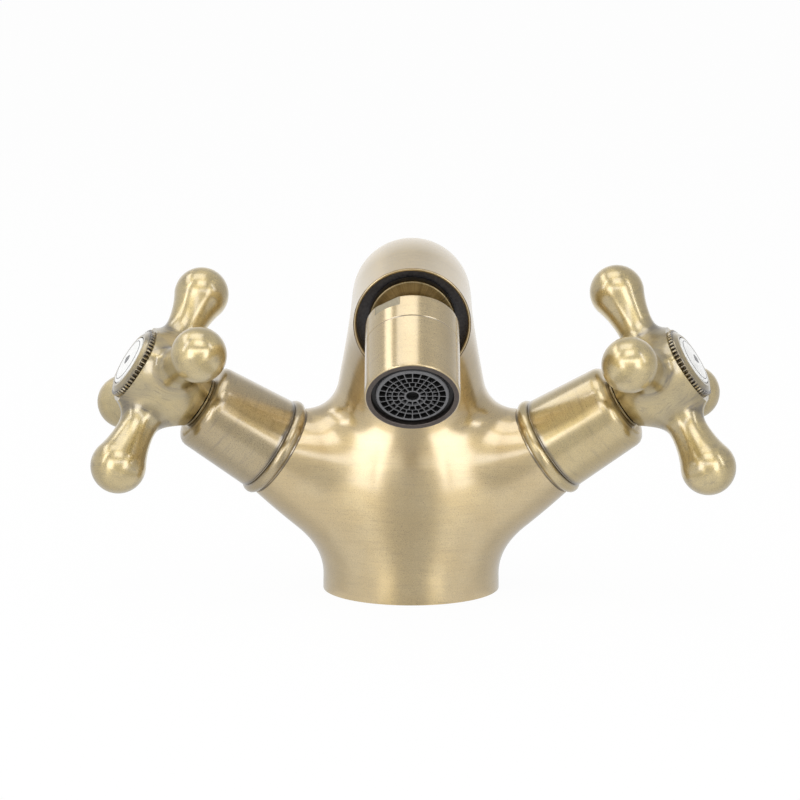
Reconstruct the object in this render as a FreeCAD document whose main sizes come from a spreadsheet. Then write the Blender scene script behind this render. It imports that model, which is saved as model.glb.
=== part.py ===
import FreeCAD, Part
import math
import os
import Sketcher
from FreeCAD import Placement, Rotation, Vector

# Two-handle single-hole basin and bidet mixer with cross handles and a swivelling aerator.
# Origin: centre of the round base, on the surface it stands on. X to the cold side, -Y to the
# user, Z up. Millimetres and degrees.

DRIVING = {
    # casting: round trunk that bends forward into the spout
    "base_radius": 25.0,
    "facing_allowance": 8.0,
    "waist_height": 14.0,
    "waist_radius": 24.7,
    "chest_height": 27.0,
    "chest_radius": 24.6,
    "bend_height": 37.9,
    "bend_start_radius": 23.9,
    "bend_radius": 51.0,
    "shoulder_turn": 14.0,
    "shoulder_radius": 22.0,
    "nape_turn": 25.0,
    "nape_radius": 20.3,
    "neck_turn": 36.0,
    "neck_radius": 18.7,
    "crook_turn": 52.0,
    "crook_radius": 17.0,
    "crown_turn": 72.0,
    "crown_radius": 16.0,
    "brow_turn": 90.0,
    "brow_radius": 15.5,
    "spout_run": 13.9,
    "mouth_tilt": 11.3,
    "mouth_radius": 15.15,
    "mouth_wall": 1.0,
    "mouth_depth": 6.0,
    "core_wall": 3.2,
    "core_start_turn": 4.0,
    "core_end_margin": 4.0,
    # casting: the two valve arms
    "axis_height": 16.8,
    "arm_rise": 32.45,
    "arm_sweep": 13.26,
    "shoulder_across": 10.7,
    "shoulder_forward": 1.0,
    "shoulder_height": 28.7,
    "shoulder_lean": 6.3,
    "shoulder_half_height": 24.6,
    "shoulder_half_depth": 21.3,
    "arm_end": 44.5,
    "arm_wall": 3.0,
    # casting: foot, waterways and fixings
    "foot_hollow_depth": 10.0,
    "foot_rim": 1.6,
    "gasket_width": 3.0,
    "foot_land": 1.9,
    "gasket_depth": 1.6,
    "inlet_spread": 9.5,
    "inlet_forward": 2.0,
    "inlet_thread_radius": 4.5,
    "inlet_thread_length": 12.0,
    "waterway_radius": 3.0,
    "waterway_root": 10.0,
    "stud_reach": 11.0,
    "stud_thread_radius": 2.5,
    "stud_thread_length": 14.0,
    "mix_height": 44.0,
    "mix_radius": 3.4,
    "mix_start": 27.5,
    # quarter-turn valve cartridge
    "valve_depth": 22.0,
    "valve_thread_step": 0.9,
    "valve_thread_radius": 10.4,
    "valve_thread_length": 9.0,
    "screw_clearance": 0.05,
    "running_clearance": 0.05,
    "barrel_clearance": 0.3,
    "barrel_lift": 0.8,
    "barrel_wall": 0.9,
    "disc_clearance": 0.3,
    "disc_thickness": 2.6,
    "disc_port_radius": 2.2,
    "disc_port_offset": 4.4,
    "window_width": 8.0,
    "driver_thickness": 2.2,
    "seal_thickness": 2.0,
    "seal_inner_radius": 4.2,
    "flange_washer_thickness": 1.0,
    "flange_washer_clearance": 0.2,
    "flange_washer_width": 1.5,
    "hexagon_thickness": 3.5,
    "cartridge_waist_radius": 8.5,
    "cartridge_waist_length": 4.0,
    "cartridge_neck_radius": 5.9,
    "cartridge_neck_top": 26.0,
    "spindle_radius": 4.0,
    "spindle_foot_gap": 0.3,
    "spindle_top": 38.0,
    "spindle_drill_radius": 2.05,
    "spindle_drill_depth": 9.0,
    "spline_length": 9.5,
    "spline_teeth": 20.0,
    "spline_depth": 0.35,
    "ring_section_radius": 0.8,
    "ring_first": 12.0,
    "ring_pitch": 4.0,
    "ring_bite": 0.1,
    "clip_inset": 0.5,
    "clip_thickness": 0.8,
    "clip_groove_depth": 0.5,
    # bonnet and gland nut
    "bead_gap": 0.5,
    "bead_width": 3.4,
    "bead_rise": 1.0,
    "bead_groove_depth": 0.55,
    "bonnet_proud": 0.05,
    "bonnet_taper": 1.45,
    "bonnet_length": 26.6,
    "bonnet_shoulder": 2.4,
    "bonnet_wall": 1.0,
    "bonnet_top_wall": 1.6,
    "gland_bore_clearance": 0.1,
    "gland_wall": 0.7,
    "gland_shank_length": 6.0,
    "gland_flange_step": 0.7,
    "gland_flange_thickness": 0.8,
    # cross handle
    "handle_gap": 0.4,
    "hub_foot_proud": 0.1,
    "hub_flare_length": 7.5,
    "hub_radius": 9.5,
    "cross_centre": 84.3,
    "hub_top": 92.4,
    "ball_reach": 28.3,
    "ball_radius": 7.6,
    "arm_waist_radius": 5.15,
    "arm_waist_reach": 15.5,
    "hot_clocking": 25.0,
    "cold_clocking": -18.6,
    "bush_radius": 5.6,
    "bush_length": 10.0,
    "bush_inset": 0.6,
    "hub_web_thickness": 2.3,
    "hub_cavity_radius": 7.9,
    "screw_radius": 2.0,
    "screw_head_radius": 3.9,
    "screw_head_height": 2.4,
    "screw_slot_radius": 1.5,
    "screw_slot_depth": 1.3,
    "screw_reach": 8.0,
    # index cap and its porcelain disc
    "cap_skirt_length": 3.8,
    "cap_skirt_inner": 6.6,
    "cap_floor": 0.9,
    "knurl_radius": 10.35,
    "knurl_height": 1.25,
    "knurl_depth": 0.35,
    "knurl_teeth": 52.0,
    "bezel_height": 0.95,
    "bezel_width": 0.85,
    "index_radius": 7.3,
    "index_clearance": 0.05,
    "index_thickness": 2.0,
    "index_dome_radius": 46.0,
    # ball nipple in the spout's mouth
    "ball_ahead": 8.0,
    "swivel_neck_radius": 5.0,
    "swivel_bore_radius": 3.2,
    "swivel_nose_cut": 1.3,
    "stem_radius": 7.4,
    "stem_length": 13.0,
    "flange_recess": 2.0,
    "flange_thickness": 3.0,
    "flange_radius": 11.75,
    "flange_washer_rim": 11.0,
    "ball_ring_angle": 56.0,
    "ball_ring_section": 0.7,
    "ball_ring_sink": 0.65,
    # swivelling aerator housing
    "swivel_tilt": 27.5,
    "housing_radius": 12.0,
    "housing_rear": 2.5,
    "nut_front": 4.5,
    "nut_thread_wall": 1.15,
    "nut_skirt_wall": 1.25,
    "nut_skirt_length": 4.5,
    "nut_flat_cut": 0.6,
    "nut_flat_height": 2.9,
    "nut_flat_turn": 34.0,
    "seat_length": 3.4,
    "seat_wall": 1.1,
    "socket_clearance": 0.1,
    "seam_chamfer": 0.3,
    "sleeve_front": 21.7,
    "sleeve_web_start": 9.2,
    "sleeve_web_end": 11.2,
    "sleeve_port_radius": 4.0,
    "sleeve_wall": 1.6,
    "rim_round": 0.35,
    # aerator cartridge inside the sleeve
    "aerator_seal_thickness": 1.5,
    "aerator_seal_inner": 7.0,
    "aerator_clearance": 0.1,
    "cage_wall": 1.0,
    "cage_front": 20.3,
    "cage_floor": 1.2,
    "cage_floor_port": 5.5,
    "screen_thickness": 0.4,
    "screen_pitch": 1.6,
    "screen_hole_radius": 0.55,
    "insert_front": 21.2,
    "insert_depth": 3.6,
    "cell_rib": 0.38,
    "cell_row_a_start": 1.1,
    "cell_row_a_end": 2.25,
    "cell_row_a_count": 24.0,
    "cell_row_b_start": 2.6,
    "cell_row_b_end": 3.7,
    "cell_row_b_count": 24.0,
    "cell_row_c_start": 4.1,
    "cell_row_c_end": 5.4,
    "cell_row_c_count": 18.0,
    "cell_row_d_start": 5.75,
    "cell_row_d_end": 7.05,
    "cell_row_d_count": 12.0,
}

document = FreeCAD.newDocument("CrossHandleTap")
sheet = document.addObject("Spreadsheet::Sheet", "Sizes")
for row, (alias, number) in enumerate(DRIVING.items(), start=1):
    sheet.set(f"A{row}", alias)
    sheet.set(f"B{row}", str(number))
    sheet.setAlias(f"B{row}", alias)
document.recompute()


class Amount:
    """A length, angle or count: its number now, and the formula that keeps it tied to the sheet."""

    def __init__(self, number, formula):
        self.number = float(number)
        self.formula = formula

    def __add__(self, other):
        other = amount(other)
        return Amount(self.number + other.number, f"({self.formula} + {other.formula})")

    def __radd__(self, other):
        return amount(other) + self

    def __sub__(self, other):
        other = amount(other)
        return Amount(self.number - other.number, f"({self.formula} - {other.formula})")

    def __rsub__(self, other):
        return amount(other) - self

    def __mul__(self, other):
        other = amount(other)
        return Amount(self.number * other.number, f"({self.formula} * {other.formula})")

    def __rmul__(self, other):
        return amount(other) * self

    def __truediv__(self, other):
        other = amount(other)
        return Amount(self.number / other.number, f"({self.formula} / {other.formula})")

    def __rtruediv__(self, other):
        return amount(other) / self

    def __neg__(self):
        return Amount(-self.number, f"(0 - {self.formula})")


def amount(value):
    if isinstance(value, Amount):
        return value
    return Amount(value, repr(float(value)))


def sine(angle):
    angle = amount(angle)
    return Amount(math.sin(math.radians(angle.number)), f"sin({angle.formula})")


def cosine(angle):
    angle = amount(angle)
    return Amount(math.cos(math.radians(angle.number)), f"cos({angle.formula})")


def tangent(angle):
    angle = amount(angle)
    return Amount(math.tan(math.radians(angle.number)), f"tan({angle.formula})")


def root(value):
    return Amount(math.sqrt(value.number), f"sqrt({value.formula})")


class Sizes:
    """Every driving dimension of the sheet, by its alias."""


for alias in DRIVING:
    setattr(Sizes, alias, Amount(sheet.get(alias), f"Sizes.{alias}"))
size = Sizes

ROUND_TURN = 360
ARMS_PER_HANDLE = 4
X_AXIS = Vector(1, 0, 0)
Y_AXIS = Vector(0, 1, 0)
Z_AXIS = Vector(0, 0, 1)
HOME = Placement()
sub_parts = []


# ---- radii worked out from the driving values ----------------------------------------------

def arm_radius():
    return size.valve_thread_radius + size.arm_wall


def gasket_outer_radius():
    return size.base_radius - size.foot_rim


def gasket_inner_radius():
    return gasket_outer_radius() - size.gasket_width


def foot_hollow_radius():
    return gasket_inner_radius() - size.foot_land


def valve_bore_radius():
    return size.valve_thread_radius - size.valve_thread_step


def barrel_radius():
    return valve_bore_radius() - size.barrel_clearance


def disc_radius():
    return barrel_radius() - size.barrel_wall - size.disc_clearance


def flange_washer_inner():
    return size.valve_thread_radius + size.flange_washer_clearance


def clip_radius():
    return size.cartridge_neck_radius - size.clip_inset


def bonnet_foot_radius():
    return arm_radius() + size.bonnet_proud


def bead_radius():
    return bonnet_foot_radius() + size.bead_rise


def bead_groove_radius():
    return bonnet_foot_radius() - size.bead_groove_depth


def bonnet_top_radius():
    return bonnet_foot_radius() - size.bonnet_taper


def gland_shank_radius():
    return size.cartridge_neck_radius + size.gland_wall


def gland_flange_radius():
    return gland_shank_radius() + size.gland_flange_step


def hub_foot_radius():
    return gland_flange_radius() + size.hub_foot_proud


def nut_skirt_radius():
    return size.housing_radius - size.nut_thread_wall


def swivel_ball_radius():
    return nut_skirt_radius() - size.nut_skirt_wall - size.seat_wall


def ball_ring_centre():
    return swivel_ball_radius() - size.ball_ring_sink


def sleeve_bore_radius():
    return size.housing_radius - size.sleeve_wall


def cage_radius():
    return sleeve_bore_radius() - size.aerator_clearance


def insert_radius():
    return cage_radius() - size.cage_wall - size.aerator_clearance


# ---- placements ----------------------------------------------------------------------------

def valve_frame(side):
    """Local Z runs outward along the valve; local X is level and faces the user."""
    rise = math.radians(size.arm_rise.number)
    sweep = math.radians(size.arm_sweep.number)
    outward = Vector(
        side * math.cos(rise) * math.cos(sweep),
        -math.cos(rise) * math.sin(sweep),
        math.sin(rise),
    )
    level = Vector(-side * math.sin(sweep), -math.cos(sweep), 0)
    turn = Rotation(level, outward.cross(level), outward, "ZXY")
    return Placement(Vector(0, 0, size.axis_height.number), turn)


def spout_point(turn):
    """Centre of the spout where it has turned forward by this angle from the vertical."""
    forward = size.bend_radius * (1 - cosine(turn))
    height = size.bend_height + size.bend_radius * sine(turn)
    return -forward, height


def mouth_frame():
    """Local Z points out of the spout's mouth; local Y points up."""
    back, height = spout_point(90 + size.mouth_tilt)
    across = back - size.spout_run * cosine(size.mouth_tilt)
    up = height - size.spout_run * sine(size.mouth_tilt)
    turn = Rotation(X_AXIS, 90 + size.mouth_tilt.number)
    return Placement(Vector(0, across.number, up.number), turn)


def housing_frame():
    """Centred on the swivel ball; local Z points the way the water leaves."""
    mouth = mouth_frame()
    centre = mouth.multVec(Vector(0, 0, size.ball_ahead.number))
    turn = Rotation(X_AXIS, 90 + size.mouth_tilt.number + size.swivel_tilt.number)
    return Placement(centre, turn)


def moved(frame, along=0.0, turn=0.0):
    """The same frame, shifted along its local Z and turned about it."""
    return frame.multiply(Placement(Vector(0, 0, amount(along).number), Rotation(Z_AXIS, turn)))


# ---- building blocks -----------------------------------------------------------------------

def bind(item, sizes):
    for name, value in sizes.items():
        item.setExpression(name, amount(value).formula)


def primitive(kind, name, sizes, place=HOME):
    item = document.addObject(f"Part::{kind}", name)
    bind(item, sizes)
    item.Placement = place
    return item


def cylinder(name, radius, start, length, frame=HOME):
    return primitive("Cylinder", name, {"Radius": radius, "Height": length}, moved(frame, start))


def sphere(name, radius, frame=HOME):
    return primitive("Sphere", name, {"Radius": radius}, frame)


def torus(name, ring_radius, section_radius, frame=HOME):
    return primitive("Torus", name, {"Radius1": ring_radius, "Radius2": section_radius}, frame)


def cone(name, start_radius, end_radius, start, length, frame=HOME):
    sizes = {"Radius1": start_radius, "Radius2": end_radius, "Height": length}
    return primitive("Cone", name, sizes, moved(frame, start))


def joined(name, pieces):
    item = document.addObject("Part::MultiFuse", name)
    item.Shapes = pieces
    return item


def cut(name, base, tool):
    item = document.addObject("Part::Cut", name)
    item.Base = base
    item.Tool = tool
    return item


def common(name, first, second):
    item = document.addObject("Part::MultiCommon", name)
    item.Shapes = [first, second]
    return item


def sub_part(item, label, frame=HOME):
    """Register a finished piece under its own label, standing in its own frame."""
    item.Label = label
    item.Placement = frame
    sub_parts.append(item)
    return item


def origin_plane(body, role):
    for feature in body.Origin.OriginFeatures:
        if feature.Role == role:
            return feature
    raise ValueError(role)


def outline_sketch(body, name, role, corners):
    """A closed outline of straight edges; each corner is tied to the sheet in both directions."""
    sketch = body.newObject("Sketcher::SketchObject", name)
    sketch.AttachmentSupport = (origin_plane(body, role), [""])
    sketch.MapMode = "FlatFace"
    corners = [(amount(across), amount(up)) for across, up in corners]
    points = [Vector(across.number, up.number, 0) for across, up in corners]
    for index, point in enumerate(points):
        following = points[(index + 1) % len(points)]
        sketch.addGeometry(Part.LineSegment(point, following), False)
    for index in range(len(points)):
        following = (index + 1) % len(points)
        sketch.addConstraint(Sketcher.Constraint("Coincident", index, 2, following, 1))
    for index, (across, up) in enumerate(corners):
        tie_corner(sketch, index, "DistanceX", across, -2)
        tie_corner(sketch, index, "DistanceY", up, -1)
    return sketch


def tie_corner(sketch, index, direction, value, axis):
    if value.formula == repr(0.0):
        sketch.addConstraint(Sketcher.Constraint("PointOnObject", index, 1, axis))
        return
    rule = Sketcher.Constraint(direction, -1, 1, index, 1, value.number)
    number = sketch.addConstraint(rule)
    sketch.setExpression(f"Constraints[{number}]", value.formula)


def turned_body(name, corners):
    """A lathe-turned body: corners are (radius, distance along local Z)."""
    body = document.addObject("PartDesign::Body", name)
    sketch = outline_sketch(body, f"{name}_outline", "XZ_Plane", corners)
    turning = body.newObject("PartDesign::Revolution", f"{name}_turning")
    turning.Profile = sketch
    turning.ReferenceAxis = (sketch, ["V_Axis"])
    turning.Angle = ROUND_TURN
    sketch.Visibility = False
    return body


def turned(label, corners, frame=HOME):
    return sub_part(turned_body(label, corners), label, frame)


def ring(label, inner, outer, start, length, frame=HOME):
    end = amount(start) + length
    corners = [(inner, start), (outer, start), (outer, end), (inner, end)]
    return turned(label, corners, frame)


def through_pocket(body, name, corners, copies):
    """One pocket right through along local Z, repeated round the axis."""
    sketch = outline_sketch(body, f"{name}_outline", "XY_Plane", corners)
    document.recompute()
    before = body.Shape.Volume
    pocket = body.newObject("PartDesign::Pocket", name)
    pocket.Profile = sketch
    pocket.Type = "ThroughAll"
    pocket.Midplane = True
    document.recompute()
    if not pocket.Shape.Volume < before:
        raise ValueError(f"{name} cuts nothing")
    pattern = body.newObject("PartDesign::PolarPattern", f"{name}_pattern")
    pattern.Originals = [pocket]
    pattern.Axis = (sketch, ["N_Axis"])
    pattern.Angle = ROUND_TURN
    pattern.setExpression("Occurrences", amount(copies).formula)
    body.Tip = pattern
    sketch.Visibility = False
    document.recompute()


# ---- casting -------------------------------------------------------------------------------

def circle_at(name, radius, across, height, turn):
    item = primitive("Circle", name, {"Radius": radius})
    item.Placement = Placement(Vector(0, 0, 0), Rotation(X_AXIS, amount(turn).number))
    places = {"Placement.Base.y": across, "Placement.Base.z": height}
    bind(item, places)
    return item


def loft(name, circles):
    item = document.addObject("Part::Loft", name)
    item.Sections = circles
    item.Solid = True
    item.Ruled = False
    return item


def spout_circle(name, turn, radius):
    across, height = spout_point(turn)
    return circle_at(name, radius, across, height, turn)


def trunk_and_spout():
    """Round sections from below the base, up the trunk and over to the mouth."""
    upright = [
        (-size.facing_allowance, size.base_radius),
        (0.0, size.base_radius),
        (size.waist_height, size.waist_radius),
        (size.chest_height, size.chest_radius),
        (size.bend_height, size.bend_start_radius),
    ]
    circles = []
    for index, (height, radius) in enumerate(upright):
        circles.append(circle_at(f"trunk_circle_{index}", radius, 0.0, height, 0.0))
    for index, (turn, radius) in enumerate(spout_stations()):
        circles.append(spout_circle(f"spout_circle_{index}", turn, radius))
    mouth = mouth_frame()
    last = primitive("Circle", "mouth_circle", {"Radius": size.mouth_radius}, mouth)
    return loft("trunk_and_spout", circles + [last])


def spout_stations():
    return [
        (size.shoulder_turn, size.shoulder_radius),
        (size.nape_turn, size.nape_radius),
        (size.neck_turn, size.neck_radius),
        (size.crook_turn, size.crook_radius),
        (size.crown_turn, size.crown_radius),
        (size.brow_turn, size.brow_radius),
    ]


def spout_core():
    """The water space inside the spout, one wall inside its outer skin."""
    stations = [(size.core_start_turn, size.shoulder_radius)] + spout_stations()
    circles = []
    for index, (turn, radius) in enumerate(stations):
        circles.append(spout_circle(f"core_circle_{index}", turn, radius - size.core_wall))
    end_turn = 90 + size.mouth_tilt - size.core_end_margin
    end_radius = size.brow_radius - size.core_wall
    circles.append(spout_circle("core_circle_end", end_turn, end_radius))
    return loft("spout_core", circles)


def valve_arm(side, name):
    """One shoulder: an oval section inside the trunk drawn out to the round end of the arm."""
    lean = Rotation(Y_AXIS, side * (90 - size.shoulder_lean.number))
    root = Vector(side * size.shoulder_across.number, -size.shoulder_forward.number, size.shoulder_height.number)
    oval = primitive("Ellipse", f"{name}_oval", {
        "MajorRadius": size.shoulder_half_height,
        "MinorRadius": size.shoulder_half_depth,
    }, Placement(root, lean))
    end = primitive("Circle", f"{name}_end", {"Radius": arm_radius()})
    facing = valve_frame(side)
    end.Placement = facing.multiply(
        Placement(Vector(0, 0, size.arm_end.number), Rotation(Z_AXIS, end_turn(facing)))
    )
    arm = loft(name, [oval, end])
    arm.Ruled = True
    return arm


def end_turn(facing):
    """Turn that puts a round section's start at its lowest point, in line with the oval's."""
    down = facing.Rotation.inverted().multVec(-Z_AXIS)
    return math.degrees(math.atan2(down.y, down.x))


def outer_form():
    arms = [valve_arm(-1, "hot_arm"), valve_arm(1, "cold_arm")]
    return joined("outer_form", [trunk_and_spout()] + arms)


def straight_drill(name, radius, start, end):
    """A drilled hole between two points."""
    run = end - start
    place = Placement(start, Rotation(Z_AXIS, run))
    item = primitive("Cylinder", name, {"Radius": radius}, place)
    item.Height = run.Length
    return item


def base_facing():
    """What is machined off below the base, so that it stands flat."""
    depth = 2 * size.facing_allowance
    return cylinder("base_facing", 2 * size.base_radius, -depth, depth)


def foot_cuts():
    floor = size.foot_hollow_depth
    hollow = cylinder("foot_hollow", foot_hollow_radius(), 0.0, floor)
    outer = cylinder("gasket_groove_outer", gasket_outer_radius(), 0.0, size.gasket_depth)
    inner = cylinder("gasket_groove_inner", gasket_inner_radius(), 0.0, size.gasket_depth)
    groove = cut("gasket_groove", outer, inner)
    length = size.foot_hollow_depth + size.stud_thread_length
    cuts = [base_facing(), hollow, groove]
    for name, side in (("rear_stud_hole", 1), ("front_stud_hole", -1)):
        place = Placement(Vector(0, side * size.stud_reach.number, 0), Rotation())
        cuts.append(cylinder(name, size.stud_thread_radius, 0.0, length, place))
    return cuts


def side_cuts(side, name):
    """Everything drilled for one valve: inlet, waterway, valve bore and mixing passage."""
    frame = valve_frame(side)
    seat = size.arm_end - size.valve_depth
    entry = Vector(side * size.inlet_spread.number, -size.inlet_forward.number, 0)
    thread_top = size.foot_hollow_depth + size.inlet_thread_length
    inlet = cylinder(f"{name}_inlet", size.inlet_thread_radius, 0.0, thread_top, Placement(entry, Rotation()))
    turning = frame.multVec(Vector(0, 0, size.waterway_root.number))
    feed_start = Vector(entry.x, entry.y, size.foot_hollow_depth.number)
    feed_end = Vector(entry.x, entry.y, turning.z + size.waterway_radius.number)
    feed = straight_drill(f"{name}_feed", size.waterway_radius, feed_start, feed_end)
    way_length = seat - size.waterway_root
    way = cylinder(f"{name}_waterway", size.waterway_radius, size.waterway_root, way_length, frame)
    bore = cylinder(f"{name}_valve_bore", valve_bore_radius(), seat, size.valve_depth, frame)
    thread_start = size.arm_end - size.valve_thread_length
    thread = cylinder(
        f"{name}_valve_thread", size.valve_thread_radius, thread_start, size.valve_thread_length, frame
    )
    chamber = frame.multVec(Vector(0, 0, size.mix_start.number))
    mixing = straight_drill(f"{name}_mixing", size.mix_radius, chamber, Vector(0, 0, size.mix_height.number))
    return [inlet, feed, way, bore, thread, mixing]


def mouth_cuts():
    mouth = mouth_frame()
    recess_radius = size.mouth_radius - size.mouth_wall
    depth = size.mouth_depth
    recess = cylinder("mouth_recess", recess_radius, -depth, depth + size.mouth_wall, mouth)
    bulkhead = size.spout_run + size.core_end_margin
    nipple = cylinder("nipple_hole", size.stem_radius + size.screw_clearance, -bulkhead, bulkhead, mouth)
    return [recess, nipple]


def body_casting():
    tools = foot_cuts() + side_cuts(-1, "hot") + side_cuts(1, "cold") + mouth_cuts() + [spout_core()]
    hollows = joined("casting_hollows", tools)
    sub_part(cut("body_casting", outer_form(), hollows), "body_casting")


def base_gasket():
    clear = size.screw_clearance
    inner = gasket_inner_radius() + clear
    ring("base_gasket", inner, gasket_outer_radius() - clear, 0.0, size.gasket_depth)


# ---- valve cartridge -----------------------------------------------------------------------

def seat_level():
    return size.arm_end - size.valve_depth


def lower_disc_level():
    return seat_level() + size.seal_thickness


def upper_disc_level():
    return lower_disc_level() + size.disc_thickness


def driver_level():
    return upper_disc_level() + size.disc_thickness


def driver_top():
    return driver_level() + size.driver_thickness


def seat_seal(side_name, frame):
    ring(
        f"{side_name}_seat_seal",
        size.seal_inner_radius, disc_radius(),
        seat_level(), size.seal_thickness, frame,
    )


def ported_disc(name, label, level, port_turn, frame):
    """A ceramic disc with two round ports on either side of its centre."""
    blank = cylinder(f"{name}_blank", disc_radius(), level, size.disc_thickness)
    ports = []
    for index, reach in enumerate((size.disc_port_offset, -size.disc_port_offset)):
        port = cylinder(f"{name}_port_{index}", size.disc_port_radius, level, size.disc_thickness)
        angle = math.radians(port_turn)
        across = reach.number * math.cos(angle)
        along = reach.number * math.sin(angle)
        port.Placement = Placement(Vector(across, along, level.number), Rotation())
        ports.append(port)
    item = cut(f"{name}_disc", blank, joined(f"{name}_ports", ports))
    return sub_part(item, label, frame)


def hexagon(name, across_flats, start, length):
    """Six-sided spanner section."""
    half_corner = across_flats / 2 / cosine(30)
    item = primitive("Prism", name, {"Circumradius": half_corner, "Height": length}, moved(HOME, start))
    item.Polygon = 6
    return item


def cartridge_body(side_name, frame):
    """Brass barrel, threaded collar, spanner hexagon and long neck round the spindle."""
    barrel_start = seat_level() + size.barrel_lift
    cavity_top = driver_top() + size.spindle_foot_gap
    thread_start = size.arm_end - size.valve_thread_length + size.barrel_lift
    thread_radius = size.valve_thread_radius - size.screw_clearance
    flange = size.arm_end + size.flange_washer_thickness
    hexagon_top = flange + size.hexagon_thickness
    waist_top = hexagon_top + size.cartridge_waist_length
    neck_top = size.arm_end + size.cartridge_neck_top
    barrel_inner = disc_radius() + size.disc_clearance
    bore = size.spindle_radius + size.running_clearance
    name = f"{side_name}_cartridge"
    turned_form = turned_body(f"{name}_turned", [
        (barrel_inner, barrel_start),
        (barrel_radius(), barrel_start),
        (barrel_radius(), thread_start),
        (thread_radius, thread_start),
        (thread_radius, flange),
        (size.cartridge_waist_radius, flange),
        (size.cartridge_waist_radius, waist_top),
        (size.cartridge_neck_radius, waist_top),
        (size.cartridge_neck_radius, neck_top),
        (bore, neck_top),
        (bore, cavity_top),
        (barrel_inner, cavity_top),
    ])
    spanner = hexagon(f"{name}_hexagon", 2 * size.valve_thread_radius, flange, size.hexagon_thickness)
    clearing = cylinder(f"{name}_hexagon_bore", bore, flange, size.hexagon_thickness)
    window_length = driver_top() - upper_disc_level()
    window = primitive("Box", f"{name}_window", {
        "Length": 4 * barrel_radius(),
        "Width": size.window_width,
        "Height": window_length,
    })
    corner = Vector(-2 * barrel_radius().number, -size.window_width.number / 2, upper_disc_level().number)
    window.Placement = Placement(corner, Rotation())
    spanner_ring = cut(f"{name}_spanner", spanner, clearing)
    whole = joined(f"{name}_whole", [turned_form, spanner_ring])
    sub_part(cut(f"{name}_cut", whole, window), f"{side_name}_cartridge_body", frame)


def flange_washer(side_name, frame):
    ring(
        f"{side_name}_flange_washer",
        flange_washer_inner(), flange_washer_inner() + size.flange_washer_width,
        size.arm_end, size.flange_washer_thickness, frame,
    )


def ring_levels():
    first = driver_level() + size.ring_first
    return [first, first + size.ring_pitch]


def spindle(side_name, frame):
    """Driver plate, round shaft with two ring grooves, clip groove and splined end."""
    foot_radius = disc_radius() - size.running_clearance
    top = size.arm_end + size.spindle_top
    drill = top - size.spindle_drill_depth
    clip = clip_level()
    clip_top = clip + size.clip_thickness
    groove = size.spindle_radius - size.clip_groove_depth
    name = f"{side_name}_spindle"
    body = turned_body(f"{name}_turned", [
        (0.0, driver_level()),
        (foot_radius, driver_level()),
        (foot_radius, driver_top()),
        (size.spindle_radius, driver_top()),
        (size.spindle_radius, clip),
        (groove, clip),
        (groove, clip_top),
        (size.spindle_radius, clip_top),
        (size.spindle_radius, top),
        (size.spindle_drill_radius, top),
        (size.spindle_drill_radius, drill),
        (0.0, drill),
    ])
    grooves = [
        torus(f"{name}_groove_{index}", ring_centre_radius(), size.ring_section_radius, moved(HOME, level))
        for index, level in enumerate(ring_levels())
    ]
    cuts = grooves + spline_cuts(name, top)
    sub_part(cut(f"{name}_cut", body, joined(f"{name}_cuts", cuts)), f"{side_name}_spindle", frame)


def spline_cuts(name, top):
    """Narrow flutes round the end of the spindle, which leave its spline teeth."""
    flutes = []
    for index in range(int(size.spline_teeth.number)):
        flute = cylinder(f"{name}_flute_{index}", size.spline_depth, top - size.spline_length, size.spline_length)
        angle = math.radians(ROUND_TURN / size.spline_teeth.number * index)
        place = flute.Placement
        across = size.spindle_radius.number * math.cos(angle)
        along = size.spindle_radius.number * math.sin(angle)
        place.Base = Vector(across, along, place.Base.z)
        flute.Placement = place
        flutes.append(flute)
    return flutes


def ring_centre_radius():
    return size.spindle_radius - size.ring_section_radius + size.ring_bite


def spindle_rings(side_name, frame):
    """Two rubber rings that seal the spindle; they stay inside the shaft's running clearance."""
    section = size.ring_section_radius - size.ring_bite
    rings = [
        torus(f"{side_name}_spindle_ring_{index}", ring_centre_radius(), section, moved(HOME, level))
        for index, level in enumerate(ring_levels())
    ]
    sub_part(joined(f"{side_name}_spindle_rings_pair", rings), f"{side_name}_spindle_rings", frame)


def clip_level():
    return size.arm_end + size.cartridge_neck_top + size.running_clearance


def spindle_clip(side_name, frame):
    inner = size.spindle_radius - size.clip_groove_depth
    ring(f"{side_name}_spindle_clip", inner, clip_radius(), clip_level(), size.clip_thickness, frame)


# ---- bonnet and gland nut ------------------------------------------------------------------

def bonnet(side_name, frame):
    """The turned cover of the cartridge, with a raised bead at its foot."""
    foot = size.arm_end
    bead_start = foot + size.bead_gap
    bead_end = bead_start + size.bead_width
    wall_start = bead_end + size.bead_gap
    top = foot + size.bonnet_length
    shoulder = size.bonnet_shoulder
    bead_round = bead_radius() - bonnet_foot_radius()
    inner_foot = bead_groove_radius() - size.bonnet_wall / 2
    inner_top = bonnet_top_radius() - size.bonnet_wall
    hole = gland_shank_radius() + size.gland_bore_clearance
    soft = shoulder * (1 - cosine(45))
    turned(f"{side_name}_bonnet", [
        (inner_foot, foot),
        (bead_groove_radius(), foot),
        (bead_groove_radius(), bead_start),
        (bonnet_foot_radius(), bead_start),
        (bead_radius(), bead_start + bead_round),
        (bead_radius(), bead_end - bead_round),
        (bonnet_foot_radius(), bead_end),
        (bead_groove_radius(), bead_end),
        (bead_groove_radius(), wall_start),
        (bonnet_foot_radius(), wall_start),
        (bonnet_top_radius(), top - shoulder),
        (bonnet_top_radius() - soft, top - soft),
        (bonnet_top_radius() - shoulder, top),
        (hole, top),
        (hole, top - size.bonnet_top_wall),
        (inner_top - shoulder, top - size.bonnet_top_wall),
        (inner_top, top - size.bonnet_top_wall - shoulder),
        (inner_foot, wall_start),
    ], frame)


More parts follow.
